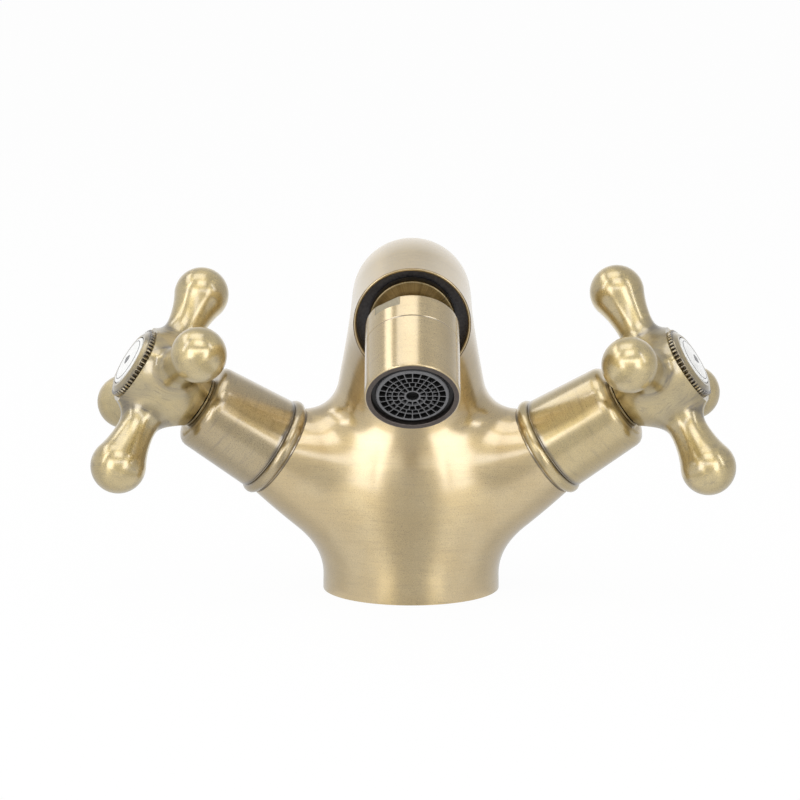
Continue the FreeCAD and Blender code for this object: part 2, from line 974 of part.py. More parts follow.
def gland_nut(side_name, frame):
    """Holds the bonnet down on the cartridge; its rim is the grey ring under the handle."""
    top = size.arm_end + size.bonnet_length
    flange_top = top + size.gland_flange_thickness
    start = top - size.gland_shank_length
    bore = size.cartridge_neck_radius + size.screw_clearance
    lip = clip_radius() + size.running_clearance
    lip_level = size.arm_end + size.cartridge_neck_top
    turned(f"{side_name}_gland_nut", [
        (bore, start),
        (gland_shank_radius(), start),
        (gland_shank_radius(), top),
        (gland_flange_radius(), top),
        (gland_flange_radius(), flange_top),
        (lip, flange_top),
        (lip, lip_level),
        (bore, lip_level),
    ], frame)


# ---- cross handle --------------------------------------------------------------------------

def hub_foot_level():
    top_of_nut = size.arm_end + size.bonnet_length + size.gland_flange_thickness
    return top_of_nut + size.handle_gap


def neck_curve_radius():
    """Radius of the hollow curve that meets the ball smoothly and is narrowest at the waist."""
    run = size.ball_reach - size.arm_waist_reach
    top = run * run + size.arm_waist_radius * size.arm_waist_radius - size.ball_radius * size.ball_radius
    return top / (2 * (size.ball_radius - size.arm_waist_radius))


def handle_arm(name, turn):
    """A ball on a waisted neck that widens again towards the hub."""
    curve = neck_curve_radius()
    centre_radius = curve + size.arm_waist_radius
    run = size.ball_reach - size.arm_waist_reach
    slant = curve + size.ball_radius
    meet_radius = size.ball_radius * centre_radius / slant
    meet_reach = size.ball_reach - size.ball_radius * run / slant
    frame = Placement(Vector(0, 0, size.cross_centre.number), Rotation(Z_AXIS, turn))
    frame = frame.multiply(Placement(Vector(), Rotation(Y_AXIS, 90)))
    neck = cylinder(f"{name}_neck", meet_radius, 0.0, meet_reach, frame)
    hollow = torus(f"{name}_hollow", centre_radius, curve, moved(frame, size.arm_waist_reach))
    ball = sphere(f"{name}_ball", size.ball_radius, moved(frame, size.ball_reach))
    return [cut(f"{name}_waisted", neck, hollow), ball]


def cross_handle(side_name, clocking, frame):
    name = f"{side_name}_handle"
    foot = hub_foot_level()
    flare_top = foot + size.hub_flare_length
    hub = turned_body(f"{name}_hub", [
        (0.0, foot),
        (hub_foot_radius(), foot),
        (size.hub_radius, flare_top),
        (size.hub_radius, size.hub_top),
        (0.0, size.hub_top),
    ])
    pieces = [hub]
    for index in range(ARMS_PER_HANDLE):
        turn = clocking.number + index * ROUND_TURN / ARMS_PER_HANDLE
        pieces += handle_arm(f"{name}_arm_{index}", turn)
    bush_room = size.bush_inset + size.bush_length + size.running_clearance
    web = foot + bush_room
    cavity = web + size.hub_web_thickness
    bores = [
        cylinder(f"{name}_bush_bore", size.bush_radius + size.running_clearance, foot, bush_room),
        cylinder(f"{name}_screw_hole", size.screw_radius + size.running_clearance, web, size.hub_web_thickness),
        cylinder(f"{name}_cavity", size.hub_cavity_radius, cavity, size.hub_top - cavity),
    ]
    item = cut(f"{name}_cut", joined(f"{name}_solid", pieces), joined(f"{name}_bores", bores))
    sub_part(item, f"{side_name}_cross_handle", frame)


def spline_bush(side_name, frame):
    """Plastic sleeve between the splined spindle and the handle's bore."""
    inner = size.spindle_radius + size.running_clearance
    start = hub_foot_level() + size.bush_inset
    ring(f"{side_name}_spline_bush", inner, size.bush_radius, start, size.bush_length, frame)


def web_top():
    room = size.bush_inset + size.bush_length + size.running_clearance
    return hub_foot_level() + room + size.hub_web_thickness


def handle_screw(side_name, frame):
    seat = web_top()
    tip = seat - size.hub_web_thickness - size.screw_reach
    head_top = seat + size.screw_head_height
    slot_floor = head_top - size.screw_slot_depth
    turned(f"{side_name}_handle_screw", [
        (0.0, tip),
        (size.screw_radius, tip),
        (size.screw_radius, seat),
        (size.screw_head_radius, seat),
        (size.screw_head_radius, head_top),
        (size.screw_slot_radius, head_top),
        (size.screw_slot_radius, slot_floor),
        (0.0, slot_floor),
    ], frame)


def knurled_edge(name, start):
    """A disc whose rim is a ring of fine pointed teeth."""
    teeth = int(size.knurl_teeth.number)
    points = []
    for index in range(2 * teeth):
        radius = size.knurl_radius.number
        if index % 2:
            radius -= size.knurl_depth.number
        angle = math.pi * index / teeth
        points.append(Vector(radius * math.cos(angle), radius * math.sin(angle), start.number))
    face = Part.Face(Part.makePolygon(points + points[:1]))
    item = document.addObject("Part::Feature", name)
    item.Shape = face.extrude(Vector(0, 0, size.knurl_height.number))
    return item


def index_cap(side_name, frame):
    """Screw-in cap with a knurled edge, a bevelled bezel and a pocket for the index disc."""
    name = f"{side_name}_cap"
    seat = size.hub_top
    skirt = size.hub_cavity_radius - size.screw_clearance
    knurl_top = seat + size.knurl_height
    bezel_top = knurl_top + size.bezel_height
    pocket = size.index_radius + size.index_clearance
    pocket_floor = seat + size.cap_floor
    knurl = knurled_edge(f"{name}_knurl", seat)
    skirt_ring = turned_body(f"{name}_skirt", [
        (size.cap_skirt_inner, seat - size.cap_skirt_length),
        (skirt, seat - size.cap_skirt_length),
        (skirt, seat),
        (size.cap_skirt_inner, seat),
    ])
    bezel = cone(
        f"{name}_bezel", size.knurl_radius - 2 * size.knurl_depth, size.index_radius + size.bezel_width,
        knurl_top, size.bezel_height,
    )
    room = cylinder(f"{name}_pocket", pocket, pocket_floor, bezel_top - pocket_floor)
    item = cut(f"{name}_cut", joined(f"{name}_whole", [knurl, skirt_ring, bezel]), room)
    sub_part(item, f"{side_name}_index_cap", frame)


def index_disc(side_name, frame):
    """Porcelain disc with a slightly domed face."""
    name = f"{side_name}_index"
    start = size.hub_top + size.cap_floor
    blank = cylinder(f"{name}_blank", size.index_radius, start, size.index_thickness)
    centre = start + size.index_thickness - size.index_dome_radius
    dome = sphere(f"{name}_dome", size.index_dome_radius, moved(HOME, centre))
    sub_part(common(f"{name}_domed", blank, dome), f"{side_name}_index_disc", frame)


# ---- ball nipple and flange ----------------------------------------------------------------

def swivel_neck_root():
    return -size.flange_recess


def ball_nipple(frame):
    """Threaded stem, short neck and the ball that the aerator housing swivels on."""
    stem_start = swivel_neck_root() - size.stem_length
    ball_frame = moved(HOME, size.ball_ahead)
    front = size.ball_ahead + swivel_ball_radius() - size.swivel_nose_cut
    stem = cylinder("nipple_stem", size.stem_radius, stem_start, size.stem_length)
    neck = cylinder("nipple_neck", size.swivel_neck_radius, swivel_neck_root(), size.ball_ahead + size.flange_recess)
    ball = sphere("nipple_ball", swivel_ball_radius(), ball_frame)
    bore = cylinder("nipple_bore", size.swivel_bore_radius, stem_start, front - stem_start)
    trim = cylinder("nipple_front_trim", swivel_ball_radius(), front, swivel_ball_radius())
    groove = torus(
        "nipple_ring_groove", ball_ring_radius(),
        size.ball_ring_section + size.screw_clearance, ball_ring_frame(),
    )
    whole = joined("nipple_whole", [stem, neck, ball])
    sub_part(cut("nipple_cut", whole, joined("nipple_cuts", [bore, trim, groove])), "ball_nipple", frame)


def ball_ring_radius():
    return ball_ring_centre() * sine(size.ball_ring_angle)


def ball_ring_frame():
    reach = size.ball_ahead + ball_ring_centre() * cosine(size.ball_ring_angle)
    return moved(HOME, reach)


def ball_ring(frame):
    item = torus("ball_ring_torus", ball_ring_radius(), size.ball_ring_section)
    reach = size.ball_ahead + ball_ring_centre() * cosine(size.ball_ring_angle)
    sub_part(item, "ball_ring", moved(frame, reach))


def mouth_flange(frame):
    """Ring screwed on the stem, which clamps the washer in the mouth."""
    front = swivel_neck_root()
    inner = size.stem_radius + size.screw_clearance
    ring("mouth_flange", inner, size.flange_radius, 0.0, size.flange_thickness,
         moved(frame, front - size.flange_thickness))


def mouth_washer(frame):
    start = -size.mouth_depth
    inner = size.stem_radius + size.screw_clearance
    thickness = size.mouth_depth - size.flange_recess - size.flange_thickness
    ring("mouth_washer", inner, size.flange_washer_rim, 0.0, thickness, moved(frame, start))


# ---- swivelling aerator housing ------------------------------------------------------------

def rear_frame():
    """The housing's frame, moved back to its rear edge."""
    return moved(housing_frame(), -size.housing_rear)


def from_rear(level):
    return amount(level) + size.housing_rear


def socket_radius():
    return swivel_ball_radius() + size.socket_clearance


def ring_nut():
    """Rear ring with two spanner flats; its round lip keeps the ball in."""
    front = from_rear(size.nut_front)
    skirt_end = from_rear(size.nut_front + size.nut_skirt_length)
    seat_floor = from_rear(0.0)
    skirt_inner = nut_skirt_radius() - size.nut_skirt_wall
    blank = turned_body("nut_blank", [
        (0.0, 0.0),
        (size.housing_radius - size.seam_chamfer, 0.0),
        (size.housing_radius, size.seam_chamfer),
        (size.housing_radius, front - size.seam_chamfer),
        (size.housing_radius - size.seam_chamfer, front),
        (nut_skirt_radius(), front),
        (nut_skirt_radius(), skirt_end),
        (skirt_inner, skirt_end),
        (skirt_inner, seat_floor),
        (0.0, seat_floor),
    ])
    socket = sphere("nut_socket", socket_radius(), moved(HOME, seat_floor))
    gap = size.housing_radius - size.nut_flat_cut
    cuts = [socket]
    for index, turn in enumerate((0.0, 180.0)):
        cuts.append(spanner_flat(f"nut_flat_{index}", gap, turn))
    item = cut("nut_cut", blank, joined("nut_cuts", cuts))
    sub_part(item, "ring_nut", rear_frame())


def spanner_flat(name, gap, turn):
    slab = primitive("Box", name, {
        "Length": size.housing_radius,
        "Width": 2 * size.housing_radius,
        "Height": size.nut_flat_height,
    })
    shift = Placement(Vector(gap.number, -size.housing_radius.number, 0), Rotation())
    direction = 90 + size.nut_flat_turn.number + turn
    slab.Placement = Placement(Vector(), Rotation(Z_AXIS, direction)).multiply(shift)
    return slab


def ball_seat():
    """Low-friction ring behind the ball's widest part, which the nut presses home."""
    inner = socket_radius() - size.socket_clearance / 2
    outer = nut_skirt_radius() - size.nut_skirt_wall - size.screw_clearance
    start = size.running_clearance
    blank = cylinder("seat_blank", outer, start, size.seat_length)
    hollow = sphere("seat_hollow", inner)
    sub_part(cut("seat_cut", blank, hollow), "ball_seat", housing_frame())


def aerator_sleeve():
    """Front barrel: screws on the nut, cups the ball and carries the aerator."""
    rear = from_rear(size.nut_front)
    front = from_rear(size.sleeve_front)
    web_start = from_rear(size.sleeve_web_start)
    web_end = from_rear(size.sleeve_web_end)
    cup_start = from_rear(size.running_clearance + size.seat_length + size.running_clearance)
    cup_radius = nut_skirt_radius() - size.nut_skirt_wall - size.screw_clearance
    thread = nut_skirt_radius() + size.screw_clearance
    blank = turned_body("sleeve_blank", [
        (size.sleeve_port_radius, cup_start),
        (cup_radius, cup_start),
        (cup_radius, web_start),
        (thread, web_start),
        (thread, rear),
        (size.housing_radius - size.seam_chamfer, rear),
        (size.housing_radius, rear + size.seam_chamfer),
        (size.housing_radius, front - size.rim_round),
        (size.housing_radius - size.rim_round, front),
        (sleeve_bore_radius(), front),
        (sleeve_bore_radius(), web_end),
        (size.sleeve_port_radius, web_end),
    ])
    hollow = sphere("sleeve_socket", socket_radius(), moved(HOME, size.housing_rear))
    sub_part(cut("sleeve_cut", blank, hollow), "aerator_sleeve", rear_frame())


# ---- aerator -------------------------------------------------------------------------------

def cage_start():
    return size.sleeve_web_end + size.aerator_seal_thickness


def aerator_seal():
    outer = sleeve_bore_radius() - size.aerator_clearance
    ring("aerator_seal", size.aerator_seal_inner, outer, size.sleeve_web_end,
         size.aerator_seal_thickness, housing_frame())


def aerator_cage():
    """Plastic cup with a ported floor, open to the front."""
    start = cage_start()
    floor = start + size.cage_floor
    inner = cage_radius() - size.cage_wall
    turned("aerator_cage", [
        (size.cage_floor_port, start),
        (cage_radius(), start),
        (cage_radius(), size.cage_front),
        (inner, size.cage_front),
        (inner, floor),
        (size.cage_floor_port, floor),
    ], housing_frame())


def aerator_screens():
    """Two perforated discs, one behind the other."""
    outer = cage_radius() - size.cage_wall - size.aerator_clearance
    first = cage_start() + size.cage_floor + size.running_clearance
    discs = []
    for index in range(2):
        level = first + index * size.screen_pitch
        body = turned_body(f"screen_{index}", [
            (0.0, level),
            (outer, level),
            (outer, level + size.screen_thickness),
            (0.0, level + size.screen_thickness),
        ])
        document.recompute()
        for row in range(1, 4):
            drill_row(body, f"screen_{index}_row_{row}", row * outer / 4, 6 * row)
        discs.append(body)
    sub_part(joined("screens_pair", discs), "aerator_screens", housing_frame())


def drill_row(body, name, reach, copies):
    half = size.screen_hole_radius
    corners = [(reach - half, -half), (reach + half, -half), (reach + half, half), (reach - half, half)]
    through_pocket(body, name, corners, copies)


def aerator_insert():
    """The grid at the outlet: rings of small cells between thin walls."""
    start = size.insert_front - size.insert_depth
    body = turned_body("aerator_insert", [
        (0.0, start),
        (insert_radius(), start),
        (insert_radius(), size.insert_front),
        (0.0, size.insert_front),
    ])
    document.recompute()
    rows = [
        ("cell_row_a", size.cell_row_a_start, size.cell_row_a_end, size.cell_row_a_count),
        ("cell_row_b", size.cell_row_b_start, size.cell_row_b_end, size.cell_row_b_count),
        ("cell_row_c", size.cell_row_c_start, size.cell_row_c_end, size.cell_row_c_count),
        ("cell_row_d", size.cell_row_d_start, size.cell_row_d_end, size.cell_row_d_count),
    ]
    for name, start, end, copies in rows:
        outer = insert_radius() - start
        inner = insert_radius() - end
        slope = tangent(180 / copies)
        inner_half = inner * slope - size.cell_rib / 2
        outer_half = outer * slope - size.cell_rib / 2
        corners = [(inner, -inner_half), (outer, -outer_half), (outer, outer_half), (inner, inner_half)]
        through_pocket(body, name, corners, copies)
    sub_part(body, "aerator_insert", housing_frame())


# ---- assembly ------------------------------------------------------------------------------

def valve_side(side, side_name, clocking):
    frame = valve_frame(side)
    seat_seal(side_name, frame)
    ported_disc(f"{side_name}_lower", f"{side_name}_fixed_disc", lower_disc_level(), 0.0, frame)
    ported_disc(f"{side_name}_upper", f"{side_name}_turning_disc", upper_disc_level(), 90.0, frame)
    cartridge_body(side_name, frame)
    flange_washer(side_name, frame)
    spindle(side_name, frame)
    spindle_rings(side_name, frame)
    spindle_clip(side_name, frame)
    bonnet(side_name, frame)
    gland_nut(side_name, frame)
    cross_handle(side_name, clocking, frame)
    spline_bush(side_name, frame)
    handle_screw(side_name, frame)
    index_cap(side_name, frame)
    index_disc(side_name, frame)


def spout_end():
    mouth = mouth_frame()
    ball_nipple(mouth)
    ball_ring(mouth)
    mouth_flange(mouth)
    mouth_washer(mouth)
    ring_nut()
    ball_seat()
    aerator_sleeve()
    aerator_seal()
    aerator_cage()
    aerator_screens()
    aerator_insert()


def check_model():
    for item in document.Objects:
        for word in ("Invalid", "Error"):
            if word in item.State:
                raise ValueError(f"{item.Label}: {word}")
    for item in sub_parts:
        if item.Shape.isNull() or not item.Shape.isValid():
            raise ValueError(f"{item.Label}: bad shape")


def write_parts():
    os.makedirs("parts", exist_ok=True)
    for item in sub_parts:
        item.Shape.exportStep(f"parts/{item.Label}.step")
        print(item.Label, round(item.Shape.Volume, 2), len(item.Shape.Solids))


body_casting()
base_gasket()
valve_side(-1, "hot", size.hot_clocking)
valve_side(1, "cold", size.cold_clocking)
spout_end()
document.recompute()
check_model()
write_parts()
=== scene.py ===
import math

import bmesh
import bpy
import numpy as np
from mathutils import Matrix, Vector


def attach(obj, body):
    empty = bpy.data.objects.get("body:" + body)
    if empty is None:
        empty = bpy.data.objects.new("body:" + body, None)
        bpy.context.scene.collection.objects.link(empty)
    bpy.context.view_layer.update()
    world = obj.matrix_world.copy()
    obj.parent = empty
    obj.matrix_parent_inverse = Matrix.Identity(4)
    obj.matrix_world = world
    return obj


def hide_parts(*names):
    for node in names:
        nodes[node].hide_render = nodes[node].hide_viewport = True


# Two-handle monobloc mixer in antique brushed brass. Lengths are in millimetres up to
# the point where a mesh is written, and angles are in degrees.

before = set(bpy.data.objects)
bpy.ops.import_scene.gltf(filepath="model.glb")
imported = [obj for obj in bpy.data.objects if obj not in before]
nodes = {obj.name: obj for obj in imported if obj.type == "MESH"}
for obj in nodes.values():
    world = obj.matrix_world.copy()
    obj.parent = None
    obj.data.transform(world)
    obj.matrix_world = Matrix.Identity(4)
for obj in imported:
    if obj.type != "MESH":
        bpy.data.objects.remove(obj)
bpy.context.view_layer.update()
millimetre = 0.001
print("frame loaded:", len(nodes), "solids")


class Values(dict):
    # a dictionary whose entries are also read by name, as in layout.armRise
    __getattr__ = dict.__getitem__


def addObject(name, data):
    added = bpy.data.objects.new(name, data)
    bpy.context.collection.objects.link(added)
    return added


cameraView = Values(
    target=(-3.13, 0.0, 53.53),
    elevation=9.12,
    distance=900.0,
    lens=143.9,
    sensor=36,
)


def addCamera():
    lift = math.radians(cameraView.elevation)
    target = Vector(cameraView.target)
    place = target + cameraView.distance * Vector((0, -math.cos(lift), math.sin(lift)))
    data = bpy.data.cameras.new("camera")
    data.lens = cameraView.lens
    data.sensor_width = cameraView.sensor
    data.clip_start = 0.01
    camera = addObject("camera", data)
    camera.location = place * millimetre
    camera.rotation_euler = (target - place).to_track_quat("-Z", "Y").to_euler()
    bpy.context.scene.camera = camera


addCamera()

# where the valves, the spout and the swivel stand
layout = Values(
    axisHeight=16.8,                # where both valve axes meet the middle line
    armRise=32.45,
    armSweep=13.26,                 # the arms also lean towards the user
    bendHeight=37.9,
    bendRadius=51.0,
    spoutRun=13.9,
    mouthTilt=11.3,
    ballAhead=8.0,                  # ball centre in front of the mouth
    housingTilt=27.5,
    clocking={"hot": 25.0, "cold": -18.6},
)
sides = {"hot": -1, "cold": 1}


def placeFrom(origin, xAxis, zAxis):
    zAxis = Vector(zAxis).normalized()
    xAxis = Vector(xAxis).normalized()
    place = Matrix((xAxis, zAxis.cross(xAxis), zAxis)).transposed().to_4x4()
    place.translation = Vector(origin)
    return place


def valvePlace(side, turn=0.0):
    rise = math.radians(layout.armRise)
    sweep = math.radians(layout.armSweep)
    sign = sides[side]
    outward = (sign * math.cos(rise) * math.cos(sweep), -math.cos(rise) * math.sin(sweep), math.sin(rise))
    level = (-sign * math.sin(sweep), -math.cos(sweep), 0)
    place = placeFrom((0, 0, layout.axisHeight), level, outward)
    return place @ Matrix.Rotation(math.radians(turn), 4, "Z")


def mouthPlace():
    tilt = math.radians(layout.mouthTilt)
    bend = layout.bendRadius
    normal = Vector((0, -math.cos(tilt), -math.sin(tilt)))
    endOfBend = Vector((0, -bend * (1 + math.sin(tilt)), layout.bendHeight + bend * math.cos(tilt)))
    return placeFrom(endOfBend + layout.spoutRun * normal, (1, 0, 0), normal)


def housingPlace():
    tilt = math.radians(layout.mouthTilt + layout.housingTilt)
    ball = mouthPlace() @ Vector((0, 0, layout.ballAhead))
    return placeFrom(ball, (1, 0, 0), (0, -math.cos(tilt), -math.sin(tilt)))


def radiusOf(points):
    return np.hypot(points[:, 0], points[:, 1])


def angleOf(points):
    return np.arctan2(points[:, 1], points[:, 0])


def band(points, level, width):
    # 1 at a level along local Z, fading to nothing over a few widths
    return np.exp(-((points[:, 2] - level) / width) ** 2)


def newPiece(name, points, faces, body, material, replaced=()):
    mesh = bpy.data.meshes.new(name)
    mesh.from_pydata((np.asarray(points) * millimetre).tolist(), [], [list(face) for face in faces])
    mesh.validate()
    piece = addObject(name, mesh)
    finishPiece(piece, body, material, replaced)
    return piece


def finishPiece(piece, body, material, replaced, sharp=35):
    piece.data.materials.append(material)
    piece.data.shade_smooth()
    piece.data.set_sharp_from_angle(angle=math.radians(sharp))
    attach(piece, body)
    if replaced:
        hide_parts(*replaced)


def storeGrain(piece, grain, hollow, axis):
    # place in millimetres with the brushing across its third number, how deep in a hollow
    # a point lies, which sets its patina and painted shade, and the direction that the brushing runs round
    mesh = piece.data
    for name, values in (("grainPlace", grain), ("grainAxis", axis)):
        layer = mesh.attributes.new(name, "FLOAT_VECTOR", "POINT")
        layer.data.foreach_set("vector", np.asarray(values, dtype=np.float32).ravel())
    layer = mesh.attributes.new("hollowness", "FLOAT", "POINT")
    layer.data.foreach_set("value", np.asarray(hollow, dtype=np.float32))


def paintFaces(piece, material, place, chosen):
    # a second finish on the faces whose middle, in the place's own frame, is chosen
    piece.data.materials.append(material)
    number = len(piece.data.materials) - 1
    back = placeInMetres(place).inverted()
    for face in piece.data.polygons:
        x, y, z = (back @ face.center) / millimetre
        if chosen(math.hypot(x, y), z, math.degrees(math.atan2(y, x))):
            face.material_index = number


def placeInMetres(place):
    moved = place.copy()
    moved.translation *= millimetre
    return moved


def roundedOutline(corners, arcSteps=4):
    # corners are (radius, level) or (radius, level, rounding); the outline is a closed loop
    outline = []
    count = len(corners)
    for index, corner in enumerate(corners):
        point = Vector(corner[:2])
        rounding = corner[2] if len(corner) > 2 else 0
        if not rounding:
            outline.append(tuple(point))
            continue
        before = (Vector(corners[index - 1][:2]) - point).normalized()
        after = (Vector(corners[(index + 1) % count][:2]) - point).normalized()
        half = before.angle(after) / 2
        middle = point + (before + after).normalized() * (rounding / math.sin(half))
        start = point + before * (rounding / math.tan(half)) - middle
        end = point + after * (rounding / math.tan(half)) - middle
        sweep = start.angle_signed(end)
        for step in range(arcSteps + 1):
            turned = start.copy()
            turned.rotate(Matrix.Rotation(-sweep * step / arcSteps, 2))
            outline.append(tuple(middle + turned))
    return outline


def refined(outline, longest=1.1):
    # more points along the straight runs, so that the finish can change along them
    result = []
    for index, point in enumerate(outline):
        following = outline[(index + 1) % len(outline)]
        parts = max(1, math.ceil(math.dist(point, following) / longest))
        for part in range(parts):
            share = part / parts
            result.append(tuple(a + share * (b - a) for a, b in zip(point, following)))
    return result


def spun(outline, steps):
    # a closed outline turned about local Z; points on the axis become one vertex
    points = []
    rows = []
    for radius, level in outline:
        if radius < 1e-6:
            rows.append([len(points)] * steps)
            points.append((0, 0, level))
            continue
        rows.append(list(range(len(points), len(points) + steps)))
        for step in range(steps):
            angle = 2 * math.pi * step / steps
            points.append((radius * math.cos(angle), radius * math.sin(angle), level))
    faces = []
    for index, row in enumerate(rows):
        following = rows[(index + 1) % len(rows)]
        if row[0] == row[1] and following[0] == following[1]:
            continue
        for step in range(steps):
            after = (step + 1) % steps
            corners = [row[step], following[step], following[after], row[after]]
            faces.append(list(dict.fromkeys(corners)))
    return np.array(points), faces


def placed(points, place):
    turn = np.array(place.to_3x3())
    return points @ turn.T + np.array(place.translation)


def turnedPiece(name, corners, place, body, material, replaced, steps, reshape=None,
                hollow=None, grain=None):
    points, faces = spun(refined(roundedOutline(corners)), steps)
    if reshape:
        points = reshape(points)
    piece = newPiece(name, placed(points, place), faces, body, material, replaced)
    axis = np.array(place.to_3x3().col[2])
    depth = hollow(points) if hollow else np.zeros(len(points))
    storeGrain(piece, grain(points) if grain else points, depth, np.tile(axis, (len(points), 1)))
    return piece


def smoothUnion(first, second, blend):
    near = np.clip(1 - np.abs(first - second) / blend, 0, 1)
    return np.minimum(first, second) - near * near * blend / 4


def smoothStep(low, high, value):
    share = np.clip((value - low) / (high - low), 0, 1)
    return share * share * (3 - 2 * share)


def slopeOf(field, points, reach):
    steps = np.eye(3) * reach
    return np.stack([field(points + step) - field(points - step) for step in steps], axis=1) / (2 * reach)


def ontoSurface(field, points, rounds):
    for _ in range(rounds):
        slope = slopeOf(field, points, 0.02)
        size = np.maximum((slope ** 2).sum(1), 0.05)
        points = points - slope * (field(points) / size)[:, None]
    return points


def gridSkin(field, low, high, step):
    # one vertex in each grid cell that the surface crosses, joined by squares
    axes = [np.arange(a, b + step, step) for a, b in zip(low, high)]
    shape = [len(axis) for axis in axes]
    value = np.empty(shape)
    for index, x in enumerate(axes[0]):
        y, z = np.meshgrid(axes[1], axes[2], indexing="ij")
        layer = np.stack([np.full_like(y, x), y, z], axis=-1).reshape(-1, 3)
        value[index] = field(layer).reshape(shape[1:])
    inside = value < 0
    count = np.zeros([size - 1 for size in shape], dtype=int)
    for i, j, k in np.ndindex(2, 2, 2):
        count += inside[i:shape[0] - 1 + i, j:shape[1] - 1 + j, k:shape[2] - 1 + k]
    crossed = (count > 0) & (count < 8)
    number = np.full(count.shape, -1)
    number[crossed] = np.arange(crossed.sum())
    cells = np.argwhere(crossed)
    points = np.array(low) + (cells + 0.5) * step
    faces = []
    for axis in range(3):
        first = [slice(1, -1)] * 3
        first[axis] = slice(0, -1)
        second = list(first)
        second[axis] = slice(1, None)
        starts = inside[tuple(first)]
        ends = inside[tuple(second)]
        for falling in (True, False):
            edges = np.argwhere((starts & ~ends) if falling else (~starts & ends))
            edges += [0 if k == axis else 1 for k in range(3)]
            u, v = (axis + 1) % 3, (axis + 2) % 3
            corners = []
            for du, dv in ((-1, -1), (0, -1), (0, 0), (-1, 0)):
                cell = edges.copy()
                cell[:, u] += du
                cell[:, v] += dv
                corners.append(number[cell[:, 0], cell[:, 1], cell[:, 2]])
            quads = np.stack(corners, axis=1)
            faces.append(quads if falling else quads[:, ::-1])
    return points, np.concatenate(faces)


def evened(points, faces, share):
    # every vertex moves towards the middle of its neighbours
    starts = faces.ravel()
    ends = np.roll(faces, -1, axis=1).ravel()
    total = np.zeros_like(points)
    count = np.bincount(starts, minlength=len(points)) + np.bincount(ends, minlength=len(points))
    for axis in range(3):
        total[:, axis] += np.bincount(starts, points[ends, axis], len(points))
        total[:, axis] += np.bincount(ends, points[starts, axis], len(points))
    return points * (1 - share) + share * total / count[:, None]


def skinOf(field, low, high, step):
    points, faces = gridSkin(field, low, high, step)
    points = ontoSurface(field, points, 4)
    for _ in range(6):
        points = ontoSurface(field, evened(points, faces, 0.6), 2)
    return points, faces


def hollownessOf(field, points, reach):
    # how far the surface bends inwards, from the field's second differences, per millimetre
    around = sum(field(points + step) + field(points - step) for step in np.eye(3) * reach)
    return (6 * field(points) - around) / reach ** 2


def meshFrom(points, faces):
    mesh = bmesh.new()
    verts = [mesh.verts.new(point) for point in points]
    for face in faces:
        mesh.faces.new([verts[index] for index in face])
    mesh.normal_update()
    return mesh


def openEnd(mesh, place, outline, reach, cell):
    # cut flat across local Z, then line the opening with rings of the outline; only what
    # lies within reach is cut, and what lies close to the cut is moved onto it
    centre = place.translation
    normal = place.to_3x3().col[2]
    near = [vert for vert in mesh.verts if (vert.co - centre).length < reach]
    for vert in near:
        level = (vert.co - centre).dot(normal)
        if abs(level) < 0.3 * cell:
            vert.co -= level * normal
    nearSet = set(near)
    faces = [face for face in mesh.faces if nearSet.issuperset(face.verts)]
    # in the mesh's own order, so that each run gives the same result
    edges = dict.fromkeys(edge for face in faces for edge in face.edges)
    geometry = [*near, *edges, *faces]
    bmesh.ops.bisect_plane(
        mesh, geom=geometry, dist=1e-4, plane_co=centre, plane_no=normal, clear_outer=True
    )
    loop = [edge for edge in mesh.edges
            if edge.is_boundary and (edge.verts[0].co - centre).length < reach]
    back = place.inverted()
    for radius, level in outline:
        made = bmesh.ops.extrude_edge_only(mesh, edges=loop)["geom"]
        for vert in made:
            if isinstance(vert, bmesh.types.BMVert):
                local = back @ vert.co
                size = radius / math.hypot(local.x, local.y)
                vert.co = place @ Vector((local.x * size, local.y * size, level))
        loop = [edge for edge in made if isinstance(edge, bmesh.types.BMEdge) and edge.is_boundary]
    bmesh.ops.edgeloop_fill(mesh, edges=loop)


def pieceFromBmesh(mesh, name):
    bmesh.ops.recalc_face_normals(mesh, faces=mesh.faces)
    data = bpy.data.meshes.new(name)
    mesh.to_mesh(data)
    mesh.free()
    data.transform(Matrix.Scale(millimetre, 4))
    return addObject(name, data)


def pointsOf(data):
    points = np.empty(len(data.vertices) * 3)
    data.vertices.foreach_get("co", points)
    return points.reshape(-1, 3) / millimetre


class NodeTree:
    # the nodes of a material or of the world, added one after another
    def __init__(self, owner):
        owner.use_nodes = True
        self.owner = owner
        self.tree = owner.node_tree

    def feed(self, socket, value):
        # with a constant, or with another node's output; a colour comes without its alpha
        if isinstance(value, bpy.types.NodeSocket):
            self.tree.links.new(value, socket)
        elif socket.type == "RGBA":
            socket.default_value = (*value, 1)
        else:
            socket.default_value = value

    def add(self, kind, inputs=(), **settings):
        node = self.tree.nodes.new("ShaderNode" + kind)
        for name, setting in settings.items():
            setattr(node, name, setting)
        for socket, value in dict(inputs).items():
            self.feed(node.inputs[socket], value)
        return node

    def calculate(self, operation, *values):
        return self.add("Math", dict(enumerate(values)), operation=operation).outputs[0]

    def spread(self, value, low, high, newLow, newHigh, smooth=False):
        kind = "SMOOTHSTEP" if smooth else "LINEAR"
        inputs = {"Value": value, "From Min": low, "From Max": high, "To Min": newLow, "To Max": newHigh}
        return self.add("MapRange", inputs, interpolation_type=kind).outputs["Result"]


